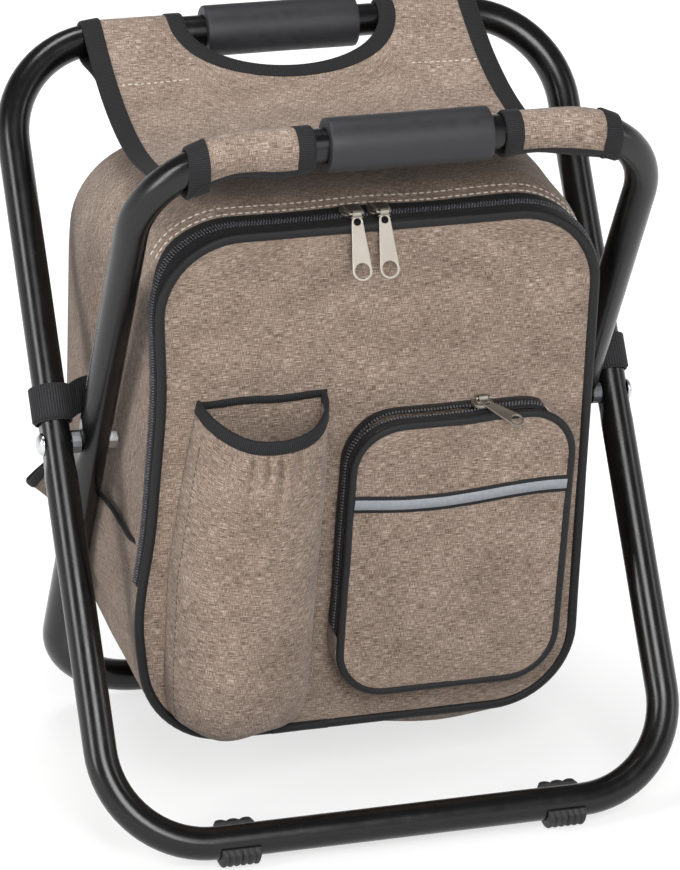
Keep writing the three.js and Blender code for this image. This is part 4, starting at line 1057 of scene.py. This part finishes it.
x, w = panel_grid((-BAG_X, BAG_X, BAG_BOTTOM, BAG_TOP - BAG_FALL, BAG_CORNER), 1.5, 41, 41)
dome = pillow(x, w, (0, -14), (127, 152))
soft = np.clip(dome * 5, 0, 1) * 1.2 * ripple(bag_point(x, 0, w), 58, 21)
x = x * (1 + fullness(w) * np.abs(x / BAG_X) ** 2 / BAG_X)
places = bag_point(x, BACK_SEAM - 0.4 + 2.0 * dome + soft, w)
sew("back_panel", places, PANEL_CLOTH, cloth, body="cooler_bag", stands_for=["bag_back_panel"])
print("front panel", round(front_panel.dimensions.x / MM), "mm wide")

# %% [markdown]
# ## Piping
# A cord in a black tape is sewn into the front and back seams. It follows the outline as a slightly flat cord
# with a little wobble, and the front one has a lapped join at the bottom.

# %% Piping
def piping(name, ring, u, extra, across, deep):
    """A cord sewn flat round an outline, with a little wobble. Across and deep are its half sizes."""
    points = bag_point(ring[:, 0] + extra, u, ring[:, 1])
    points = points + (0.5 * ripple(points, 22, 11))[:, None] * depth_axis
    turns = np.linspace(0, 2 * math.pi, 14, endpoint=False)
    oval = np.stack([across * np.cos(turns), deep * np.sin(turns)], axis=-1)
    return sweep(name, *along(points, -depth_axis, ring=True), oval, ring=True), points


PIPING_U = -65.6
ring = bag_outline(PIPING_U, 1.4)
wave = left_wave(ring[:, 0], ring[:, 1], PIPING_U)
front_piping, front_path = piping("front_piping", ring, PIPING_U, wave, 2.9, 2.2)
front_piping = join("front_piping", [front_piping, cord("lap", front_path[-9:-3], 3.0)])
keep(front_piping, piping_cloth, "webbing", across=FRONT_BEND, stands_for=["flap_piping", "bag_front_piping"])
ring = bag_outline(BACK_SEAM, 1.2)
wave = ring[:, 2] * fullness(ring[:, 1]) * 0.85
back_piping, _ = piping("back_piping", ring, BACK_SEAM + 0.4, wave, 2.3, 2.1)
keep(back_piping, piping_cloth, "webbing", "cooler_bag", stands_for=["bag_back_piping"])
print("piping round the front", len(front_path), "points")

# %% [markdown]
# ## Main zipper
# Two tapes run from the fold up one side, over the top and down the other side. The nylon coil is a row of
# small beads on each tape. One tape belongs to the flap and one to the bag, so they part when it opens.

# %% Main zipper
COIL_PITCH = 1.7
COIL_BEAD = (1.8, 0.6, 1.1)


def tilted(depths):
    """Line on the skin along the zipper, with the skin's outward direction and its slope to the back."""
    slope = unit(skin_at(depths + 1.5) - skin_at(depths - 1.5))
    normals = unit(skin_out - slope * (skin_out * slope).sum(-1, keepdims=True))
    return skin_at(depths)[open_run], normals[open_run], slope[open_run]


# near and far edge of each tape, where its coil lies and where its first bead sits
for side, near, far, middle, start, body in (
        ("flap", -63.8, coil_u - 0.2, coil_u - 1.5, 0, "front_flap"),
        ("bag", coil_u + 0.2, coil_u + 3.6 + 6.4 * top_share, coil_u + 1.5, COIL_PITCH / 2, "cooler_bag")):
    line, normals, slope = tilted((near + far) / 2)
    half = ((far - near) / 2)[open_run, None]
    strip = sweep(f"{side}_zipper_tape", line + 0.9 * normals, slope * half, normals, tape(2.0, 0.9))
    line, normals, slope = tilted(middle)
    teeth = beads(f"{side}_zipper_coil", line + 1.7 * normals, normals, COIL_BEAD, COIL_PITCH, start, slope)
    keep(strip, zip_tape, "webbing", body, stands_for=[f"main_zipper_{side}_tape"])
    keep(teeth, coil, body=body)
    print(teeth.name, len(teeth.data.polygons), "faces")

# %% [markdown]
# ## Topstitching
# Two rows of pale thread hold the folded cloth edge behind the zipper.

# %% Topstitching
TOP_STITCH = (3.5, 4.2, 0.42)
stitch_rows = []
over_top = top_share[open_run] > 0.5
for behind in (12.4, 17.8):
    line, normals, _ = tilted(coil_u + behind)
    line, normals = line[over_top], normals[over_top]
    stitch_rows.append(stitches("row", line + 0.3 * normals, normals, TOP_STITCH))
keep(join("zipper_topstitch", stitch_rows), thread, body="cooler_bag")
print(len(stitch_rows), "rows of topstitching")

# %% [markdown]
# ## Bottle pocket
# A deep open pocket is sewn to the lower left of the front. An elastic in its black rim gathers the cloth, so
# folds run down from the rim and fade out. The floor is rounded, because the cloth is eased into the seam.

# %% Bottle pocket
POCKET_DEPTH = 44.0
FLOOR_W, RIM_W = -152.0, 52.0
PLEATS = 11
# height from floor to rim, then half width, middle and share of the depth there
shape = np.array([[0.0, 25.0, -77.0, 0.0], [0.004, 30.0, -77.0, 0.3], [0.02, 35.0, -77.0, 0.58],
                  [0.05, 38.5, -77.0, 0.78], [0.1, 40.5, -77.0, 0.9], [0.2, 41.5, -77.0, 0.98],
                  [0.5, 42.0, -75.5, 1.0], [0.8, 39.5, -70.0, 0.97], [1.0, 36.0, -67.0, 0.86]])
angles = np.linspace(0, math.pi, 161)
bow = np.sin(angles)
rows = []
for t in np.concatenate([np.linspace(0, 0.06, 10)[:-1], np.linspace(0.06, 1, 52)]):
    half, middle, deep = follow(t, shape[:, 0], shape[:, 1:])
    folds = 1.0 * np.sin(angles * 5 + 9 * t) * bow
    for pleat in range(1, PLEATS):
        beside = angles - math.pi * (pleat + 0.25 * math.sin(5 * pleat)) / PLEATS
        crease = np.exp(-(beside / 0.05) ** 2) - 0.5 * np.exp(-((beside - 0.13) / 0.09) ** 2)
        start = 0.74 + 0.1 * math.sin(3 * pleat)
        folds = folds - 4.0 * crease * smooth(start, 0.95, t) * (1 - smooth(0.925, 0.965, t)) * bow
    x = middle - half * np.cos(angles) * (1 - 0.04 * bow)
    dip = 11.0 * bow ** 1.5 * smooth(0.6, 1.0, t)
    wavy = 2.2 * np.sin(angles * 4 + 0.5) * bow * (1 - smooth(0.0, 0.15, t))
    w = FLOOR_W + (RIM_W - FLOOR_W) * t - dip + wavy - 5 * bow ** 2 * (1 - smooth(0.0, 0.2, t))
    place = bag_point(x, front_u(x, w) - 0.9 - (POCKET_DEPTH * bow ** 0.8 + folds) * deep, w)
    rows.append(place + (0.7 * ripple(place, 30, 5) * bow)[:, None] * depth_axis)
pocket_rows = np.array(rows)
pocket_out = facing_of(pocket_rows)
pocket_out *= np.sign((pocket_out[20, 80] * -depth_axis).sum())
made = sew("bottle_pocket_cloth", pocket_rows, PANEL_CLOTH, cloth, across=FRONT_BEND,
           stands_for=["bottle_pocket"])
print("bottle pocket", round(made.dimensions.z / MM), "mm high")

# %% Rim and seam of the bottle pocket
SEAM_STITCH = (3.0, 4.0, 0.3)
rim = pocket_rows[-1]
rim_front = edge_tape("rim_front", rim, pocket_rows[-3] - rim, pocket_out[-2], 7.2)
back_x = np.linspace(rim[0, 0] - 1, rim[-1, 0] + 2, 30)
back_w = RIM_W - 2.2 + 0.5 * np.sin(back_x / 7)
back_line = bag_point(back_x, front_u(back_x, back_w) - 1.4, back_w)
rim_back = sweep("rim_back", *along(back_line, -depth_axis), tape(4.6, 1.4))
rim_tape = join("bottle_pocket_rim", [rim_front, rim_back])
keep(rim_tape, binding, "webbing", body="front_flap", stands_for=["bottle_pocket_binding"])
seam_line, seam_out = pocket_rows[4:56, 13], pocket_out[4:56, 13]
pocket_seam = stitches("bottle_pocket_seam", seam_line + 0.7 * seam_out, seam_out, SEAM_STITCH)
keep(pocket_seam, dark_thread, across=FRONT_BEND)
print("rim", len(rim_tape.data.polygons), "faces")

# %% [markdown]
# ## Zip pocket
# The right pocket is a flat box with a zipper over its top and down its left side. Its front is a cloth panel
# with piping round it and a grey reflective ribbon across. The zipper stands open for a part of the top.

# %% Shape of the zip pocket
ZIP_BOX = (-22.0, 111.0, -137.0, 36.0, 30.0)
ZIP_FRONT = -86.0
LIP_LEAN = 1.8


def askew(w):
    """The soft pocket leans to the right towards its top."""
    return 4.0 * (w + 110) / 146


def pocket_outline(inset=0.0):
    ring = rounded(ZIP_BOX, inset, (9, 12, 30))
    ring[:, 0] += askew(ring[:, 1])
    return ring


def gape(x, w):
    """How far the open slit's lip leans out, on the pocket's top."""
    return smooth(-18, 8, x) * (1 - smooth(48, 66, x)) * smooth(0, 30, w)


def pocket_skin(u):
    """The pocket's wall at depth u, round its outline."""
    x, w, nx, nw = pocket_outline().T
    soft = 0.5 * ripple(bag_point(x, u, w), 30, 13)
    return bag_point(x + nx * soft, u, w + nw * soft)


def pocket_face(x, w):
    """Depth of the pocket's soft front."""
    dome = pillow(x, w, (44.5, -50.5), (66, 86))
    points = bag_point(x, 0, w)
    soft = np.clip(dome * 5, 0, 1) * (0.9 * ripple(points, 48, 17) + 0.35 * ripple(points, 20, 2))
    return ZIP_FRONT - 2.5 * dome - soft - LIP_LEAN * gape(x, w)


# %% Zip pocket
ring_x, ring_top, ring_nx, ring_nw = pocket_outline().T
zipped = ((ring_top > 5) & (ring_x < 98)) | ((ring_x < 0) & (ring_top > -98))
back_u = front_u(ring_x, ring_top) - 0.3
wall_end = np.where(zipped, -69.6, -85.2)
wall_rows = [closed(pocket_skin(back_u + (wall_end - back_u) * step)) for step in np.linspace(0, 1, 8)]
sew("zip_pocket_wall", wall_rows, POCKET_CLOTH, cloth, merge=True, across=FRONT_BEND,
    stands_for=["zip_pocket_gusset"])

x, w = panel_grid(ZIP_BOX, 1.0, 37, 37)
x = x + askew(w)
places = bag_point(x, pocket_face(x, w), w)
pocket_panel = sew("zip_pocket_panel", places, PANEL_CLOTH, cloth, across=FRONT_BEND,
                   stands_for=["zip_pocket_front"])
edge = pocket_outline(1.6)
edge_u = ZIP_FRONT + 0.2 - LIP_LEAN * gape(edge[:, 0], edge[:, 1])
pocket_piping, _ = piping("zip_pocket_piping_cord", edge, edge_u, 0, 2.4, 2.0)
keep(pocket_piping, piping_cloth, "webbing", across=FRONT_BEND, stands_for=["zip_pocket_piping"])
print("zip pocket", round(pocket_panel.dimensions.x / MM), "mm wide")

# %% Zip pocket zipper
POCKET_PITCH = 1.9
out = unit(bag_way(ring_nx, 0, ring_nw))[zipped]
lean = gape(ring_x, ring_top)[zipped, None] * depth_axis
deep = np.broadcast_to(depth_axis, out.shape)
# depth and width of each tape, depth of its coil, how far its lip opens and where its first bead sits
for part, u, width, coil_at, opened, start in (("front", -81.4, 5.0, -79.4, -2.2, 0),
                                               ("rear", -73.2, 9.0, -77.2, 2.6, POCKET_PITCH / 2)):
    name = f"zip_pocket_{part}_lip"
    strip = sweep(name, pocket_skin(u)[zipped] + opened * lean + 0.6 * out, deep, out, tape(width, 0.9))
    keep(strip, zip_tape, "webbing", across=FRONT_BEND, stands_for=[f"zip_pocket_{part}_tape"])
    line = pocket_skin(coil_at)[zipped] + opened * lean + 1.2 * out
    teeth = beads(name + "_coil", line, out, (1.4, 0.68, 0.9), POCKET_PITCH, start, deep)
    keep(teeth, coil, across=FRONT_BEND)
    print(name, len(teeth.data.polygons), "faces in its coil")

# %% Reflective ribbon
x = np.linspace(ZIP_BOX[0] + 3.4, ZIP_BOX[1] - 3.4, 60)
w = -13 + 1.6 * np.sin((x + 22) / 133 * 2 * math.pi + 2.6)
x = x + askew(w)
points, side, facing = along(bag_point(x, pocket_face(x, w) - 0.9, w), -depth_axis)
ribbon_back = sweep("ribbon_border", points, side, facing, tape(10.4, 0.7))
keep(ribbon_back, binding, "webbing", body="front_flap")
ribbon_face = sweep("reflective_ribbon", points + 0.55 * facing, side, facing, tape(6.0, 0.6))
keep(ribbon_face, ribbon, "reflector", body="front_flap", stands_for=["reflective_strip"])
print("ribbon", round(ribbon_face.dimensions.x / MM), "mm long")

# %% [markdown]
# ## Side pockets
# A flat cloth pocket with a bound top edge is sewn to each side of the bag. Its rear corner has come away
# from the bag and hangs out, far on the left side and a little on the right.

# %% Side pockets
SIDE_FRONT, SIDE_BACK, SIDE_FLOOR, SIDE_HIGH = -45, 92, -114, 69
u = np.linspace(SIDE_FRONT, SIDE_BACK, 76)[None, :]
t = np.linspace(0, 1, 40)[:, None]
w = SIDE_FLOOR + SIDE_HIGH * t + 0 * u
depth = (u - BAG_FRONT) / (BAG_BACK - BAG_FRONT)
body_x = BAG_X + 2.0 * np.sin(math.pi * depth) + fullness(w) * smooth(-5, 60, u)
edge_fade = smooth(0, 10, u - SIDE_FRONT) * smooth(0, 10, SIDE_BACK - u) * smooth(0, 0.12, t)
loose = np.clip((t - 0.15) / 0.85, 0, 1) ** 1.3 * (1 - smooth(82, SIDE_BACK, u))
# how far the loose corner stands off and hangs down on each side
for (hand, sign), gap, hang in zip(HANDS, (26.0, 9.0), (19.0, 5.0)):
    x = body_x + 0.8 + edge_fade * 2.4 + gap * loose * smooth(30, 80, u)
    points = bag_point(sign * x, u, w - hang * loose * smooth(60, 80, u))
    side_pocket = sew(f"{hand}_side_pocket_cloth", points, POCKET_CLOTH, cloth, body="cooler_bag",
                      stands_for=[f"side_pocket_{hand}"])
    facing = facing_of(points)[-2]
    facing = facing * np.sign(facing[:, :1]) * sign
    inward = points[-3] - points[-1]
    # a thin tape along the flat part and a wide one along the loose part
    tapes = [edge_tape("tape", points[-1, run], inward[run], facing[run], wide)
             for run, wide in ((slice(0, 52), 1.8), (slice(51, None), 4.5))]
    mouth_tape = join(f"{hand}_side_pocket_rim", tapes)
    keep(mouth_tape, binding, "webbing", "cooler_bag", stands_for=[f"side_pocket_binding_{hand}"])
    print(hand, "side pocket", round(side_pocket.dimensions.x / MM), "mm thick")

# %% [markdown]
# ## Linings
# Inside, the bag and the flap are padded with thin foam under a silver film. Each is one shell that follows
# the skin a few millimetres further in, so it shows when the flap is opened. The film is slightly crinkled.

# %% Linings
LINING_IN, LINING_BACK, FOAM_THICK = 6.4, 96.0, 4.0
mouth = np.where(ring_w >= FOLD_W, coil_u + 6 + 8 * top_share, -60.0)
rows = []
for step in np.linspace(0, 1, 18):
    place = skin_at(mouth + (LINING_BACK - mouth) * step)
    rows.append(closed(place - (LINING_IN + 0.5 * ripple(place, 26, 31))[:, None] * skin_out))
middle = rows[-1][:-1].mean(axis=0)
spread = rows[-1] - middle
uneven = (spread @ depth_axis)[:, None] * depth_axis
for size in (0.97, 0.8, 0.6, 0.4, 0.2, 0.0):
    rows.append(middle + spread * size - uneven * size * (1 - size ** 2))
bag_lining = sew("bag_lining", rows, FOAM_THICK, film, "liner", 1.0, merge=True,
                 body="cooler_bag", stands_for=["bag_liner", "bag_insulation"])
print("bag lining", [round(v / MM) for v in bag_lining.dimensions])

# the flap's lining is the top of a taller panel, cut off above the fold
x, w = panel_grid((-BAG_X, BAG_X, -309.0, BAG_TOP, BAG_CORNER), 9, 41, 90)
above = w[:, 0] > FOLD_W + 6
x, w = x[above], w[above]
places = bag_point(x, front_u(x, w) + 3.4, w)
places = places + (0.4 * ripple(places, 26, 33))[..., None] * depth_axis
flap_lining = sew("flap_lining", places, FOAM_THICK, film, "liner",
                  body="front_flap", stands_for=["flap_liner", "flap_insulation"])
print("flap lining", [round(v / MM) for v in flap_lining.dimensions])

# %% [markdown]
# ## Zipper pulls
# A pull is stamped from a plate: narrow at the pin, round at the tip, with a large hole for the finger and a
# small one near the pin. A flat curve with two holes gives the plate, and its bevel gives the rolled edges.
# A short tube is its knuckle.

# %% Pull shapes
KNUCKLE_R, PULL_THICK, EASE = 2.15, 1.4, 0.3
NECK_SHARE = 0.58
MAIN_PIN_U, MAIN_PIN_W = -64.8, 156.67
POCKET_COIL, POCKET_PIN_W = -78.27, 43.1
MAIN_X, POCKET_X = (-15.2, 0.6), 60.0


def ring_of(x, y, radius, start=0.0, end=360.0, count=28):
    turns = np.radians(np.linspace(start, end, count, endpoint=end - start < 360))
    return [(x + radius * math.cos(a), y + radius * math.sin(a)) for a in turns]


def zipper_pull(name, length, width, pin, droop, swing):
    """A pull that hangs from its pin: pin as x, u, w of the bag, droop below level and swing to the right."""
    wide, narrow = width / 2, width / 2 * NECK_SHARE
    neck, tip = narrow - EASE, wide - length
    outline = ring_of(0, tip, wide - EASE, 0, -180) + ring_of(0, -neck, neck, 180, 0)
    finger_hole = ring_of(0, tip, wide * 0.74 + EASE)
    pin_hole = ring_of(0, -neck, neck * 0.66 + EASE)
    root = KNUCKLE_R * 0.7 + narrow * math.sin(swing)
    down = Matrix.Rotation(droop, 4, "X")
    tab = stamped(name, [outline, finger_hole, pin_hole], PULL_THICK, EASE)
    tab.data.transform(down @ Matrix.Translation((0, -root * MM, 0)) @ Matrix.Rotation(swing, 4, "Z"))
    half = [(-2.7, 1.2), (-2.7, 1.85), (-2.4, KNUCKLE_R)]
    tube = half + [(-a, r) for a, r in half[::-1]] + half[:1]
    knuckle = turned("knuckle", tube, (0, 0, 0), (1, 0, 0), 20)
    low = -root - 0.6
    tongue = stamped("tongue", [[(-neck, low), (neck, low), (2.4, -1.7), (-2.4, -1.7)]], PULL_THICK, EASE)
    tongue.data.transform(down)
    made = join(name, [tab, knuckle, tongue])
    made.data.transform(Matrix.Translation(Vector(bag_point(*pin)) * MM) @ Matrix.Rotation(LEAN, 4, "X"))
    return made


def rest_angle(rise, reach, radius):
    """Angle at which a pull hangs over the piping in front of it."""
    clear = radius + 0.3 + 0.6 * PULL_THICK
    return math.atan2(rise, reach) - math.asin(clear / math.hypot(rise, reach))


# %% Pulls
main_droop = rest_angle(MAIN_PIN_W - 149.2, MAIN_PIN_U + 65.3, 2.1)
pocket_droop = rest_angle(7.7, 7.4, 1.9)
pocket_pin = (POCKET_X, POCKET_COIL, POCKET_PIN_W)
for node, length, width, pin, droop, swing in (
        ("main_pull_left", 36, 11.5, (MAIN_X[0], MAIN_PIN_U, MAIN_PIN_W), main_droop, 0.0),
        ("main_pull_right", 36, 11.5, (MAIN_X[1], MAIN_PIN_U, MAIN_PIN_W), main_droop, 0.0),
        ("pocket_pull", 25, 8.5, pocket_pin, pocket_droop, math.radians(48))):
    made = zipper_pull(node + "_plate", length, width, pin, droop, swing)
    keep(made, zinc, "zinc", node, stands_for=[node])
    cad = [np.round(np.array(corner) / MM, 1).tolist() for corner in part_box(node)]
    print(node, "hangs", round(math.degrees(droop)), "degrees below level; CAD box", cad)

# %% [markdown]
# ## Zipper sliders
# A slider is a small cast body that rides on the coil. A wire bow on it reaches over the zipper's edge and
# holds the pull's pin. The body is two stamped plates, a small one on a larger one. The bow is a bent cord.

# %% Slider shapes
BOW_HALF, BOW_R = 3.75, 0.9


def soft_box(half_length, half_width, radius):
    """Outline of a plate with round corners."""
    points = []
    for a, b, start in ((1, 1, 0), (-1, 1, 90), (-1, -1, 180), (1, -1, 270)):
        x, y = a * (half_length - radius), b * (half_width - radius)
        points += ring_of(x, y, radius, start, start + 90, 7)
    return points


def slider(name, x, coil_depth, coil_top, tilt, pin_depth, pin_w):
    """A slider whose body lies on the coil and whose wire bow carries the pin."""
    plate = stamped(name, [soft_box(5.6, 4.4, 2.8)], 2.2, 0.5)
    crown = stamped("crown", [soft_box(3.4, 2.4, 1.9)], 1.8, 0.6)
    crown.data.transform(Matrix.Translation((0, 0, 1.4 * MM)))
    body = join(name, [plate, crown])
    seat_at = Vector(bag_point(x, coil_depth, coil_top + 1.3)) * MM
    body.data.transform(Matrix.Translation(seat_at) @ Matrix.Rotation(LEAN + tilt, 4, "X"))
    rise = coil_top + 3.4
    crest = max(rise, pin_w)
    half = [(BOW_HALF, coil_depth + 1.5, coil_top + 1.6), (BOW_HALF, coil_depth + 0.6, rise),
            (BOW_HALF, coil_depth - 1.2, crest + 0.5), (BOW_HALF, (coil_depth + pin_depth) / 2, crest + 0.3),
            (BOW_HALF, pin_depth + 0.9, pin_w + 0.75), (BOW_HALF - 0.25, pin_depth, pin_w)]
    bow = [bag_point(x + a, u, w) for a, u, w in half] + [bag_point(x - a, u, w) for a, u, w in half[::-1]]
    return join(name, [body, cord("bow", bow, BOW_R, sides=3)])


# %% Sliders
top_line = skin_at(np.full(RING, -53.0))
top_middle = top_line[np.argmax(top_line[:, 2])]
coil_height = (top_middle[2] - PIVOT_Z) * math.cos(LEAN) - top_middle[1] * math.sin(LEAN) + 2.6
main_rest = (-53.4, coil_height, math.radians(15), MAIN_PIN_U, MAIN_PIN_W)
pocket_rest = (POCKET_COIL, 38.2, 0.0, POCKET_COIL, POCKET_PIN_W)
for node, x, rest in (("main_slider_left", MAIN_X[0], main_rest), ("main_slider_right", MAIN_X[1], main_rest),
                      ("pocket_slider", POCKET_X, pocket_rest)):
    made = slider(node + "_body", x, *rest)
    keep(made, zinc, "zinc", node, stands_for=[node])
print("the coil's top is at w", round(coil_height, 1))
